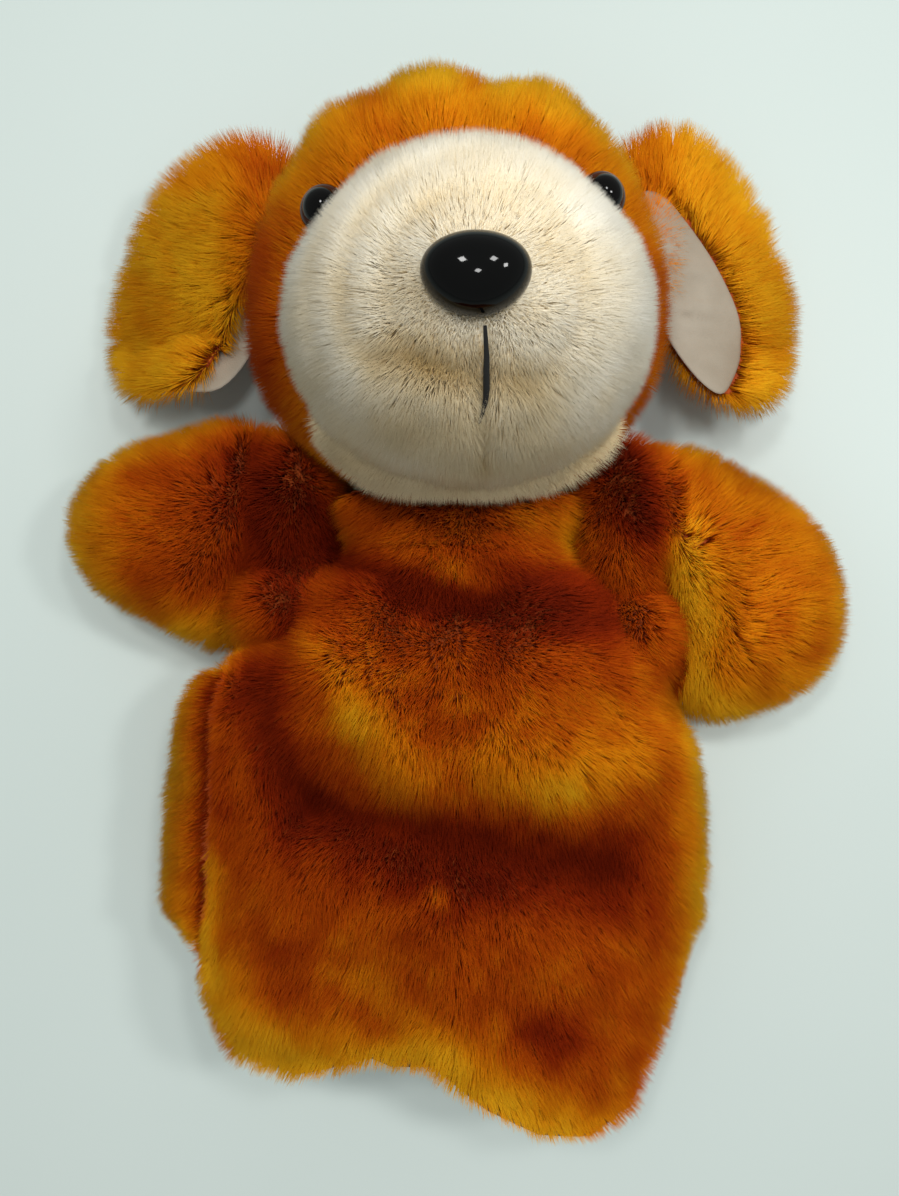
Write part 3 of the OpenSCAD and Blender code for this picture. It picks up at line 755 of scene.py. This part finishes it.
NECK_RINGS = [  # y, half width, half depth, middle height
    (7, 25, 13, 23), (10, 25, 14, 23), (13, 25, 14.5, 23), (15, 25, 15, 23), (17, 25, 15, 23),
    (19, 25, 15, 23), (21, 25, 15, 23), (23, 25.5, 15, 23), (26, 26, 14.5, 23), (30, 28, 14, 23),
    (34, 29, 12.5, 24), (37, 29, 11, 25)]


def neck_tube(name, low, high):
    rows = [r for r in NECK_RINGS if low <= r[0] <= high]
    t = circle(40)
    verts = np.concatenate([xyz(w * np.cos(t), y, np.maximum(z + d * np.sin(t), 3.0)) for y, w, d, z in rows])
    ob = mesh_object(name, verts, grid_faces(len(rows), 40, True))
    s = Skin(ob)
    if float(np.sum(s.no * (s.co - np.array([0, 0, 22.0])) * np.array([1, 0, 1]))) < 0:
        ob.data.flip_normals()
    return ob


def neck_look(p, n):
    # the neck takes the glove's tone, painted light and shade included
    comb = xyz(0 * p[:, 0], -1, 0)
    return comb, 8.5, 0.4, glove_tone_and_shade(p, n)[0], np.where(n[:, 2] < -0.3, 0.2, 1.0)


# ---------- head

EYES = ((-30.4, 95.6), (32.8, 99.6))
HEAD = np.array([0.0, 85.0, 38.0])
HEAD_R = np.array([52.0, 53.0, 38.0])


# lumps of the gathered crown: the bearing in degrees from its middle, the width and the height of each
CROWN_LUMPS = (
    (-38, 10, 2.4), (-10, 9, 3.4), (8, 6, -1.4), (28, 9, 3.0), (-24, 6, -1.2), (46, 8, 1.6), (18, 5, 0.8))


def head_cover(rows=44, cols=72):
    down = np.linspace(math.radians(30), math.radians(178.5), rows)
    down, around = np.meshgrid(down, circle(cols), indexing="ij")
    rx, ry, rz = HEAD_R - 4.2
    x = rx * np.sin(down) * np.cos(around)
    z = HEAD[2] + np.where(np.sin(around) < 0, rz + 2, rz) * np.sin(down) * np.sin(around)
    verts = xyz(x, HEAD[1] - ry * np.cos(down), np.maximum(z, 3.78)).reshape(-1, 3)
    # cheeks, brow and crown swell a little under the pile
    v = unit(verts - HEAD)
    swell = 2.6 * bump(np.abs(v[:, 0]), 0.8, 0.3) * bump(v[:, 1], -0.35, 0.35) * (v[:, 2] > -0.2)
    swell += 1.6 * bump(v[:, 1], 0.75, 0.25) * bump(v[:, 2], 0.5, 0.4)
    spin = np.degrees(np.arctan2(v[:, 0], v[:, 1]))
    high = ease(v[:, 1], 0.35, 0.8)
    for at, wide, rise in CROWN_LUMPS:
        swell += rise * bump(spin, at, wide) * high
    verts = verts + v * swell[:, None]
    verts[:, 2] = np.maximum(verts[:, 2], 3.6)
    ends = [tuple((rows - 1) * cols + j for j in range(cols)), tuple(reversed(range(cols)))]
    return mesh_object("head_skin", verts, grid_faces(rows, cols, True) + ends)


head = head_cover()
puff(head, voxel=4.0, pressure=4.0, cap=2.2)


def head_look(p, n):
    rel = p - HEAD
    x, y, z = rel.T
    # the pile runs back from the face over the crown, and down the cheeks
    comb = xyz(0.8 * x, 0.9 * y + 14, -0.35 * (z + 8))
    low = ease(-y, 5, 30)[:, None]
    comb = unit(comb) * (1 - low) + unit(xyz(x, -30, -10)) * low
    px, py = p[:, 0], p[:, 1]
    from_muzzle = np.hypot(px - 3, py - 70)
    length = 9.0 - 3.5 * bump(from_muzzle, 34, 7) * (z > 10)
    # painted shade low on the head, towards the neck, and painted light where the head turns away from facing
    # up
    tone = 0.60 + 0.30 * ease(y, 16, 42) + 0.10 * (1 - np.clip(n[:, 2], 0, 1))
    # patches: painted shade in the hollows between the crown's lumps and low on the left cheek, painted light
    # on the left cheek where the muzzle's shadow falls; the rest are lighter and darker patches of the pile
    tone += 0.22 * streak(p, (10, 134), (40, 114), 8) + 0.16 * streak(p, (-14, 134), (-8, 124), 6)
    tone += 0.16 * streak(p, (-38, 108), (-34, 118), 5) - 0.24 * streak(p, (-24, 130), (-18, 118), 6)
    tone -= 0.22 * streak(p, (0, 138), (2, 122), 3) + 0.16 * streak(p, (46, 84), (44, 60), 6)
    tone += 0.20 * streak(p, (-30, 46), (-36, 56), 6) + 0.10 * streak(p, (-44, 96), (-40, 104), 4)
    tone -= 0.26 * streak(p, (-46, 92), (-46, 76), 8) + 0.12 * ease(-y, 14, 44)
    tone -= 0.26 * streak(p, (-44, 66), (-36, 48), 7)
    weight = np.where(n[:, 2] < -0.4, 0.16, np.where(n[:, 2] < 0, 0.6, 1.0))
    weight = np.where((from_muzzle < 29) & (z > 0), 0.0, weight)
    on_chin = (py > chin_low(px) + 1.5) & (py < chin_high(px) + 3) & (np.abs(px - 3) < 34) & (z > 8)
    weight = np.where(on_chin, 0.0, weight)
    length = np.where(n[:, 2] < -0.4, 6.0, length)
    # short and open round the eyes
    for ex, ey in EYES:
        away = np.linalg.norm(p - np.array([ex, ey, float(face_z(ex, ey)) - 2]), axis=1)
        length = length * (1 - 0.45 * bump(away, 0, 8.5))
        weight = np.where(away < 4.4, 0.0, weight)
    return comb, length, 0.30 + 0.34 * tone, tone, weight


# ---------- muzzle, chin, nose, eyes and mouth

MUZZLE = np.array([2.5, 71.0])
MUZZLE_RX, MUZZLE_RY = 38.8, 33.4
MUZZLE_TOP = 95.0


def face_z(x, y):
    q = 1 - (x / HEAD_R[0]) ** 2 - ((y - HEAD[1]) / HEAD_R[1]) ** 2
    return HEAD[2] + HEAD_R[2] * np.sqrt(np.maximum(0.12, q))


def muzzle_surface(k, a):
    """A point of the muzzle at share k of its radius and angle a."""
    x, y = MUZZLE[0] + MUZZLE_RX * k * np.cos(a), MUZZLE[1] + MUZZLE_RY * k * np.sin(a)
    base = face_z(MUZZLE[0] + MUZZLE_RX * np.cos(a), MUZZLE[1] + MUZZLE_RY * np.sin(a)) - 1
    return xyz(x, y, base + (MUZZLE_TOP - 2.4 - base) * np.sqrt(np.maximum(0, 1 - k**2.5)))


def muzzle_creases(p):
    """Rings where the muzzle's cloth is drawn in, strongest on its left, and a pinch beside the mouth."""
    x, y = p.T[:2]
    r = np.hypot(x - 3.5, (y - 71) * 1.02)
    left = 0.12 + 0.88 * ease(3 - x, -6, 16) * ease(y, 50, 66)
    d = (0.7 * bump(r, 17, 1.9) + 0.9 * bump(r, 24.5, 2.0) + 0.6 * bump(r, 31, 2.0)) * left
    d += 0.7 * bump(r, 20, 1.7) * ease(x, 6, 16)
    d += 1.3 * streak(p, (-14, 59), (1, 55), 3.6) + 0.6 * streak(p, (9, 55), (15, 54), 3.0)
    d += 1.6 * bump(x, 5, 2.0) * ease(-y, -63, -58) * ease(y, 38, 46)
    return d


def muzzle_cover(rows=34, cols=90):
    """The muzzle's dome, whose edge turns in to the face underneath."""
    k, a = np.meshgrid(np.sin(np.linspace(0.03, 1, rows) * math.pi / 2), circle(cols), indexing="ij")
    dome_points = muzzle_surface(k, a)
    inner = dome_points[-1].copy()
    inner[:, :2] = MUZZLE + (inner[:, :2] - MUZZLE) * 0.8
    inner[:, 2] = face_z(inner[:, 0], inner[:, 1]) - 1.5
    verts = np.concatenate([dome_points.reshape(-1, 3), muzzle_surface(np.zeros(1), np.zeros(1)), inner])
    rim, base = (rows - 1) * cols, rows * cols + 1
    faces = grid_faces(rows, cols, True) + fan(rows * cols, 0, cols)
    faces += [(rim + j, rim + (j + 1) % cols, base + (j + 1) % cols, base + j) for j in range(cols)]
    faces.append(tuple(base + j for j in reversed(range(cols))))
    return mesh_object("muzzle_skin", verts, faces)


muzzle = muzzle_cover()
puff(muzzle, voxel=3.0, pressure=4.0, cap=1.6)
co = coords(muzzle)
inward = unit(np.array([*MUZZLE, 60.0]) - co)
set_coords(muzzle, co + inward * (muzzle_creases(co) * (co[:, 2] > 55))[:, None])


def muzzle_look(p, n):
    x, y = p.T[:2]
    rel = p[:, :2] - np.array([3.4, 71.0])
    r = np.linalg.norm(rel, axis=1)
    # the pile runs out from the nose, turning down towards the mouth and chin
    comb = xyz(rel[:, 0], rel[:, 1] - 6.0, -0.4 * r)
    length = 3.4 + 3.8 * ease(r, 9, 26)
    lean = 0.62 - 0.30 * ease(r, 10, 22) + 0.20 * ease(r, 26, 36)
    for ex, ey in EYES:
        length = length * (1 - 0.5 * bump(np.hypot(x - ex, y - ey), 0, 10))
    # painted shade: darker in the creases, by d
    d = np.clip(muzzle_creases(p) / 1.6, 0, 1)
    tone = 0.88 - 0.30 * d - 0.12 * bump(r, 14, 7) + 0.20 * (value_noise(p, 7, 71) - 0.5)
    # painted shade beside the mouth's pinches; darker towards the bottom and at the lower left, partly the
    # pile's own yellower tan and partly painted shade
    beside = 0.30 * streak(p, (-14, 60), (-1, 56), 4)
    tone -= 0.40 * ease(-y, -62, -42) + beside + 0.2 * streak(p, (9, 55), (14, 54), 4)
    tone -= 0.20 * ease(-x, 14, 34) * ease(-y, -84, -60)
    weight = np.where(n[:, 2] < -0.2, 0.25, 1.0)
    weight = np.where(r < 7.0, 0.3, weight)
    weight = np.where((np.abs(x - 5.2) < 1.5) & (y < 63) & (y > 42), 0.12, weight)
    return comb, length, lean, tone, weight


def chin_low(x):
    return 35.3 + 12.7 * np.abs((x - 3) / 36) ** 4 - 1.3 * bump(x, -18, 8)


def chin_high(x):
    """The patch's upper edge lies under the muzzle."""
    return np.minimum(74.6 - MUZZLE_RY * np.sqrt(np.maximum(0, 1 - ((x - 3) / 37) ** 2)), 52)


def unit_grid(rows, cols):
    """The two coordinates, 0 to 1, of a grid's points, row after row."""
    grid = np.meshgrid(np.linspace(0, 1, rows), np.linspace(0, 1, cols), indexing="ij")
    return [g.ravel() for g in grid]


def chin_cover(rows=48, cols=14):
    """The patch lies on the face, tucked under it at its edges."""
    u, v = unit_grid(rows, cols)
    x = 3 + 36 * (2 * u - 1)
    y = chin_low(x) + (chin_high(x) - chin_low(x)) * v
    points = xyz(x, y, face_z(x, y))
    rise = -2.2 + 4.2 * np.sin(v * math.pi) ** 0.6 * (1 - 0.6 * np.abs(2 * u - 1) ** 4)
    points = points + unit((points - HEAD) / HEAD_R**2) * rise[:, None]
    ob = mesh_object("chin_skin", points, grid_faces(rows, cols, False))
    if Skin(ob).no[:, 1].mean() > 0:
        ob.data.flip_normals()
    return ob


chin = chin_cover()


def chin_look(p, n):
    # painted shade: darker towards the top, where the chin lies under the muzzle
    tone = 0.54 - 0.16 * ease(p[:, 2], 46, 52)
    return xyz(0.9 * p[:, 0], -26, 10), 6.0, 0.5, tone, 1.0


def dome(name, at, rx, ry, h, power, material, taper=0.0):
    """A smooth closed button, squarer with a higher power, and narrower at its lower end with taper."""
    cols = 56
    a = circle(cols)
    shape = 1 - taper * (0.5 - 0.5 * np.sin(a)) ** 1.3
    rings = []
    for t in np.linspace(0.02, 1, 20):
        k = math.sin(t * math.pi / 2)
        z = h * (1 - k**power) ** (1 / power)
        rings.append(xyz(rx * k * np.cos(a) * shape, ry * k * np.sin(a), z))
    rings.append(xyz(rx * 0.86 * np.cos(a) * shape, ry * 0.86 * np.sin(a), -1.6))
    verts = np.concatenate([*rings, [[0, 0, h]]])
    back = len(verts) - 1 - cols
    faces = grid_faces(len(rings), cols, True) + fan(len(verts) - 1, 0, cols)
    faces.append(tuple(back + j for j in reversed(range(cols))))
    ob = mesh_object(name, verts + np.array(at), faces)
    ob.data.materials.append(material)
    return ob


nose = dome("nose_button", (3.2, 71.6, MUZZLE_TOP - 0.2), 12.0, 8.2, 8.4, 2.3, M_NOSE, taper=0.20)


def eye(name, at):
    tilt = unit([at[0] * 0.010, (at[1] - 85) * 0.006, 1.0])
    turn = Vector((0, 0, 1)).rotation_difference(Vector(tilt)).to_matrix().to_4x4()
    rim = dome(name + "_rim", (0, 0, 0), 5.5, 5.5, 3.4, 2.4, M_IRIS)
    pupil = dome(name + "_pupil", (0, 0, 0.9), 4.4, 4.4, 3.9, 2.1, M_PUPIL)
    for ob in (rim, pupil):
        ob.data.transform(turn)
        set_coords(ob, coords(ob) + np.array([*at, float(face_z(*at)) + 1.5]))
    return rim, pupil


def tube(name, line, radii, sides=8):
    line = np.array(line, float)
    verts = []
    for i, p in enumerate(line):
        d = unit(line[min(i + 1, len(line) - 1)] - line[max(i - 1, 0)])
        u = unit(np.cross(d, [0.3, 0.2, 1.0]))
        w = np.cross(d, u)
        for k in range(sides):
            a = 2 * math.pi * k / sides
            verts.append(p + radii[i] * (math.cos(a) * u + math.sin(a) * w))
    faces = grid_faces(len(line), sides, True)
    faces.append(tuple(reversed(range(sides))))
    faces.append(tuple((len(line) - 1) * sides + k for k in range(sides)))
    return mesh_object(name, np.array(verts), faces)


def muzzle_height(x, y):
    u, v = (x - MUZZLE[0]) / MUZZLE_RX, (y - MUZZLE[1]) / MUZZLE_RY
    return muzzle_surface(np.clip(np.hypot(u, v), 0, 1), np.arctan2(v, u))[2]


# the mouth's thread hangs from the nose over the pile
MOUTH_PLAN = (5.0, 61.8), (5.2, 59), (5.4, 56), (5.4, 53), (5.5, 50.5), (5.4, 48.5), (4.9, 46.5), (4.2, 44.6)
mouth_line = [(x, y, float(muzzle_height(x, y)) + 2.8 + 0.08 * (62 - y)) for x, y in MOUTH_PLAN]
mouth = tube("mouth_thread", mouth_line, [0.4, 0.5, 0.62, 0.72, 0.72, 0.6, 0.45, 0.3])
mouth.data.materials.append(M_THREAD)

# ---------- ears

EAR_LEFT = catmull_loop([
    (-44, 126), (-60, 133), (-80, 126), (-92, 113), (-98.5, 95), (-99.5, 79),
    (-91, 66), (-78, 64), (-70, 67), (-64, 76), (-59, 88), (-50, 104)], 4)
EAR_RIGHT = catmull_loop([
    (44, 127), (62, 136), (80, 125), (91, 110), (98, 94), (96, 77),
    (87, 64), (75, 61), (65, 65), (58, 76), (54, 88), (50, 104)], 4)
LINING_LEFT = catmull_loop([
    (-46, 122), (-60, 129), (-79, 123), (-89, 111), (-95, 94), (-94, 79),
    (-86, 69), (-74, 65), (-64, 65), (-57, 74), (-54, 86), (-49, 104)], 4)
LINING_RIGHT = catmull_loop([
    (50, 118), (56, 119), (66, 110), (75, 99), (81, 88), (81, 78),
    (76, 68), (71, 63), (65, 67), (59, 77), (54, 90), (51, 104)], 4)


def inside(p, line):
    """Whether each point of p lies inside the closed outline, in plan."""
    x, y = p.T[:2]
    hit = np.zeros(len(p), bool)
    for (x0, y0), (x1, y1) in zip(line, np.roll(line, -1, 0)):
        cross = (y0 > y) != (y1 > y)
        with np.errstate(divide="ignore", invalid="ignore"):
            hit ^= cross & (x < (x1 - x0) * (y - y0) / (y1 - y0) + x0)
    return hit


def ear_z(x, y):
    """The height of an ear's lower face: down from its root to the table, and up again at its tip."""
    u = np.clip((np.abs(x) - 57) / 40, 0, 1)
    return 0.2 + 20 * (1 - u) ** 1.4 + 4 * np.sin(math.pi * u) + 0.6 * np.maximum(0, 80 - y)


def ear_sheet(name, line, lift, shrink, thick, wrinkle=0.0, seed=3, dome_up=0.0):
    """One thin closed layer of an ear: its outline, height over the ear's own curve, and thickness."""
    c = line.mean(0)
    line = line - unit(line - c) * shrink
    top, bottom = [], []
    for k in (0.02, *np.linspace(0.1, 0.9, 14), 0.96, 1.0):
        x, y = (c + (line - c) * k).T
        z = ear_z(x, y) + lift + dome_up * (1 - k**2)
        if wrinkle:
            z = z + wrinkle * (value_noise(xyz(x + y * 0.25, y * 3.2, 0), 7, seed) - 0.5) * (1 - k**4)
        edge = 0.35 * thick * (k > 0.99)
        top.append(xyz(x, y, z + thick / 2 - edge))
        bottom.append(xyz(x, y, z - thick / 2 + edge))
    return mesh_object(name, *closed_tube(top + bottom[::-1]))


def ear_tone(p):
    root = 0.30 * ease(-np.abs(p[:, 0]), -64, -52)
    return 0.90 + 0.14 * (value_noise(p, 13, 77) - 0.5) - root - 0.16 * streak(p, (-72, 124), (-62, 128), 6)


def left_ear_look(p, n):
    """Pile that runs out from the ear's root. Both ears' roots have it too."""
    side = np.sign(p[:, 0])
    comb = xyz(*unit(p[:, :2] - xyz(side * 50, 108)).T, -0.15)
    return comb, 9.0, 0.62, ear_tone(p), np.where(n[:, 2] < -0.35, 0.12, 1.0)


def right_ear_look(p, n):
    """Pile that wraps over the turned-up ear's edge, as far as its lining."""
    comb = xyz(*unit(p[:, :2] - np.array([64.0, 92.0])).T, 0.1)
    bare = inside(p, LINING_RIGHT) & (n[:, 2] > -0.2)
    return comb, 9.0, 0.75, ear_tone(p), np.where(bare, 0.0, np.where(n[:, 2] < -0.35, 0.3, 1.0))


ear_left_fur = ear_sheet("ear_left_skin", EAR_LEFT, 3.2, 2.5, 1.6, dome_up=1.5)
ear_left_lining = ear_sheet("ear_left_lining_cloth", LINING_LEFT, 1.2, 0.0, 0.9, wrinkle=0.8, seed=8)
ear_right_fur = ear_sheet("ear_right_skin", EAR_RIGHT, 2.8, 2.5, 1.6)
ear_right_lining = ear_sheet(
    "ear_right_lining_cloth", LINING_RIGHT, 4.4, 0.0, 0.9, wrinkle=1.6, seed=9, dome_up=0.8)
EAR_ROOT_Y = 92, 122


def ear_root(name, side, rows=16, cols=20):
    """The short run of fur cloth from the head's side to the ear."""
    u, v = unit_grid(rows, cols)
    x, y = side * (33 + 24 * u), EAR_ROOT_Y[0] + (EAR_ROOT_Y[1] - EAR_ROOT_Y[0]) * v
    near_ear = ease(u, 0.2, 0.9)
    z = 21.0 * (1 - near_ear) + (ear_z(x, y) + 0.6) * near_ear
    last, count = rows - 1, rows * cols
    border = [i * cols for i in range(rows)] + [last * cols + j for j in range(1, cols)]
    border += [i * cols + cols - 1 for i in range(last - 1, -1, -1)] + list(range(cols - 2, 0, -1))
    faces = grid_faces(rows, cols, False)
    faces += [tuple(count + i for i in reversed(f)) for f in faces]
    faces += [(a, border[k - 1], count + border[k - 1], count + a) for k, a in enumerate(border)]
    return mesh_object(name, np.concatenate([xyz(x, y, z + 0.7), xyz(x, y, z - 0.7)]), faces)


ear_roots = {side: ear_root(f"ear_{side}_root_skin", k) for side, k in (("left", -1), ("right", 1))}

# ---------- linings and hem


def glove_lining(cols=64):
    rings = [body_ring(y, INSET + 3.4, cols) for y in np.linspace(HEM_CUT, 2, 40)]
    t = circle(cols)
    for y, r in ((7, 26), (11, 19), (14, 13.5)):
        rings.append(xyz(r * 1.15 * np.cos(t), y, 22 + min(r, 14.5) * np.sin(t)))
    v = np.concatenate(rings)
    up = upper_side(v)
    v[:, 2] -= folds(v) * up * 0.9
    v[:, 2] += 0.9 * (value_noise(v, 11, 31) - 0.5) * up
    v[:, 1] += hem_shift(v)
    # the lining reaches up to 6 mm past the hem below its notch: a dark strip that stands partly for painted
    # shade under the hem
    v[:, 1] -= 6 * bump(v[:, 0], -14, 9) * ease(-v[:, 1], 90, 112)
    return mesh_object("glove_lining", v, grid_faces(len(rings), cols, True))


def hem_tape(cols=96, turns=8):
    """A tape folded over the cloth's edge and the lining's, as a closed tube round the hem."""
    outer, inner = (body_ring(HEM_CUT, INSET + off, cols) for off in (0.4, 3.2))
    for ring in (outer, inner):
        ring[:, 2] -= folds(ring) * upper_side(ring)
    rings = []
    for k in range(turns + 1):
        a = math.pi * k / turns
        mix = 0.5 - 0.5 * math.cos(a)
        ring = outer * (1 - mix) + inner * mix
        ring[:, 1] = HEM_CUT - 1.5 * math.sin(a) + (2.5 if k in (0, turns) else 0)
        rings.append(ring)
    rings.append(rings[0] * 0.5 + rings[-1] * 0.5)
    v = np.concatenate(rings)
    v[:, 1] += hem_shift(v)
    last = (len(rings) - 1) * cols
    closing = [(last + j, last + (j + 1) % cols, (j + 1) % cols, j) for j in range(cols)]
    return mesh_object("hem_tape", v, grid_faces(len(rings), cols, True) + closing)


lining = glove_lining()
lining.data.materials.append(M_LINING)
hem = hem_tape()
hem.data.materials.append(M_TAPE)

# ---------- pieces onto their bodies


PILE = {}


def put(ob, body, slot, *nodes):
    if nodes:
        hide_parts(*nodes)
    if isinstance(body, str):
        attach(ob, body)
    else:
        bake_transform(ob)


def dress(ob, name, body, look, seed, slot="plush_fur", pile=M_FUR, back=M_BACKING, nodes=(), **kw):
    """Names a piece of cloth, grows its pile, and puts both on a body; given two bodies and two points of a
    joint instead, it leaves both where they are.
    """
    ob.name = name + "_cloth"
    ob.data.materials.append(back)
    PILE[name] = grow(name + "_pile", ob, look, seed, pile, **kw)
    put(ob, body, slot, *nodes)
    for fur in PILE[name]:
        put(fur, body, slot)


def m(*p):
    return tuple(c * MM for c in p)


dress(skins["torso"], "body", "glove", glove_look, 11,
      nodes=("body_front_panel", "body_back_panel", "side_seam_left", "side_seam_right"))
for side, k, pivot, seed in (("left", -1, LEFT_PIVOT, 12), ("right", 1, RIGHT_PIVOT, 15)):
    shoulder, arm = "shoulder_" + side, "arm_" + side
    # each shoulder's cloth in two strips: from the body to the shoulder's ring, and from the ring to the arm
    start, ring, end = (m(k * x, *pivot[1:]) for x in (SHOULDER_IN, SHOULDER_MID, SHOULDER_OUT))
    dress(skins[side + "_a"], shoulder + "_inner", ("glove", shoulder, start, ring), glove_look, seed)
    dress(skins[side + "_b"], shoulder + "_outer", (shoulder, arm, ring, end), glove_look, seed + 1,
          nodes=("shoulder_seam_" + side,))
    dress(skins[side + "_arm"], arm, arm, glove_look, seed + 2,
          nodes=(arm + "_front", arm + "_back", arm + "_seam", arm + "_pocket"))

# the neck's strips, each across one of its joints: from and to in y, bodies, bend, seed and nodes
for name, low, high, bodies, start, end, seed, nodes in (
    ("low", 7, 17, ("glove", "neck_thread"), 10, 17, 21, ()),
    ("middle", 17, 23, ("neck_thread", "neck_sleeve"), 17, 23, 22, ("neck_thread",)),
    ("high", 23, 37, ("neck_sleeve", "head"), 23, 33, 23, ("neck_sleeve",)),
):
    strip = neck_tube("neck_skin_" + name, low, high)
    dress(strip, "neck_" + name, (*bodies, m(0, start, 22), m(0, end, 22)), neck_look, seed, nodes=nodes)

dress(head, "head", "head", head_look, 31, nodes=("face_panel", "crown_panel", "head_stuffing"))
for ob, name, look, seed, nodes in (
    (muzzle, "muzzle", muzzle_look, 32, ("muzzle_cover", "muzzle_stuffing")),
    (chin, "chin", chin_look, 33, ("chin_patch",)),
):
    dress(ob, name, "head", look, seed, "cream_fur", M_CREAM, M_CREAM_BACKING, nodes,
          density=15, width=0.23, clump=0.12, clump_size=9)

put(nose, "head", "black_plastic", "nose")
for side, at in zip(("left", "right"), EYES):
    rim, pupil = eye("eye_" + side, at)
    put(rim, "head", "eye_plastic", "eye_" + side)
    put(pupil, "head", "eye_plastic")
put(mouth, "head", "black_thread", "mouth_stitch")

dress(ear_left_fur, "ear_left", "ear_left", left_ear_look, 41, density=8, nodes=("ear_left_fur",))
dress(ear_right_fur, "ear_right", "ear_right", right_ear_look, 42, density=8, nodes=("ear_right_fur",))
for ob, side in ((ear_left_lining, "left"), (ear_right_lining, "right")):
    ob.data.materials.append(M_EAR)
    put(ob, "ear_" + side, "ear_lining", f"ear_{side}_lining")
for side, k in (("left", -1), ("right", 1)):
    bend = ("head", "ear_" + side, m(k * 40, 108, 22), m(k * 52, 108, 22))
    dress(ear_roots[side], f"ear_{side}_root", bend, left_ear_look, 43 + k, density=7)

put(lining, "glove", "dark_lining", "body_lining_front", "body_lining_back")
put(hem, "glove", "dark_lining", "hem_tape_front", "hem_tape_back")
bpy.data.objects.remove(glove)

# ---------- cloth, as cut: a table of the flat cuts, which the loop below only looks up

# width, length and area of each flat cut in mm, how it is held, and what it lies on
CUTS = {
    "body": (305, 150, 41500, "laid", "glove_lining"),
    "shoulder_left_inner": (145, 10.5, 1470, "gathered", "body_cloth"),
    "shoulder_left_outer": (152, 10.5, 1590, "gathered", "shoulder_left_inner_cloth"),
    "arm_left": (125, 56, 5750, "laid", "shoulder_left_outer_cloth"),
    "shoulder_right_inner": (145, 10.5, 1450, "gathered", "body_cloth"),
    "shoulder_right_outer": (175, 10.5, 1800, "gathered", "shoulder_right_inner_cloth"),
    "arm_right": (142, 58, 6700, "laid", "shoulder_right_outer_cloth"),
    "neck_low": (130, 10.5, 1280, "gathered", "body_cloth"),
    "neck_high": (140, 15, 1950, "gathered", "head_cloth"),
    "chin": (78, 19, 1190, "laid", "head_cloth"),
    "ear_left": (53, 68, 2500, "laid", "ear_left_lining_cloth"),
    "ear_right": (53, 72, 2700, "laid", "ear_right_lining_cloth"),
    "ear_left_root": (25, 30, 745, "laid", "head_cloth"),
    "ear_right_root": (25, 30, 745, "laid", "head_cloth"),
}
CUTS_WITHOUT_PILE = {
    "glove_lining": (300, 132, 37000, "laid", "hem_tape"),
    "hem_tape": (360, 10.5, 2200, "folded", "glove_lining"),
    "ear_left_lining_cloth": (53, 68, 2700, "laid", "ear_left_cloth"),
    "ear_right_lining_cloth": (34, 59, 1250, "laid", "ear_right_cloth"),
}
for name, (wide, long, area, held, under) in {**CUTS_WITHOUT_PILE, **CUTS}.items():
    going = PILE.get(name, [])
    if name == "neck_high":
        going = going + [bpy.data.objects["neck_middle_cloth"]] + PILE["neck_middle"]
    ob = bpy.data.objects[name + "_cloth" if name in CUTS else name]

for node, mat in {
    "finger_tube": M_CARD,
    "nose_washer": M_WASHER, "eye_washer_left": M_WASHER, "eye_washer_right": M_WASHER,
}.items():
    me = frame["nodes"][node].data
    me.materials.clear()
    me.materials.append(mat)

# ---------- floor, light and camera

FLOOR_HALF = 3000
corners = [(x * FLOOR_HALF, y * FLOOR_HALF, 0) for x, y in ((-1, -1), (1, -1), (1, 1), (-1, 1))]
floor = mesh_object("floor", corners, [(0, 1, 2, 3)])
floor.data.materials.append(noise_material("pale_floor", (0.55, 0.625, 0.60), (0.59, 0.66, 0.635), 3, 0.45))

LIGHT_SIZE = 0.10
AIM = Vector((0, 0, 0.04))
for name, at, power in (
    ("ceiling_a", (-0.16, 0.31, 0.72), 1.6), ("ceiling_b", (0.24, 0.33, 0.72), 1.3),
    ("ceiling_c", (0.05, 0.08, 0.95), 1.3), ("ceiling_d", (0.52, 0.16, 0.66), 1.6),
):
    data = bpy.data.lights.new(name, "AREA")
    data.shape = "RECTANGLE"
    data.size = data.size_y = LIGHT_SIZE
    data.energy = power
    data.color = (1.0, 1.0, 0.985)
    light = new_object(name, data)
    light.location = at
    light.rotation_euler = (AIM - Vector(at)).to_track_quat("-Z", "Y").to_euler()
world = bpy.data.worlds.new("world")
bpy.context.scene.world = world
world.use_nodes = True
sky = world.node_tree.nodes["Background"].inputs
sky["Color"].default_value = (0.95, 1.0, 0.98, 1)
sky["Strength"].default_value = 0.47

# a phone's camera, held flat above the puppet
cam_data = bpy.data.cameras.new("camera")
cam_data.sensor_width = 36
cam_data.lens = 27.2
cam_data.clip_start = 0.01
cam = new_object("camera", cam_data)
cam.location = (-0.002, 0.008, 0.273)
bpy.context.scene.camera = cam
bpy.context.scene.view_settings.view_transform = "Standard"
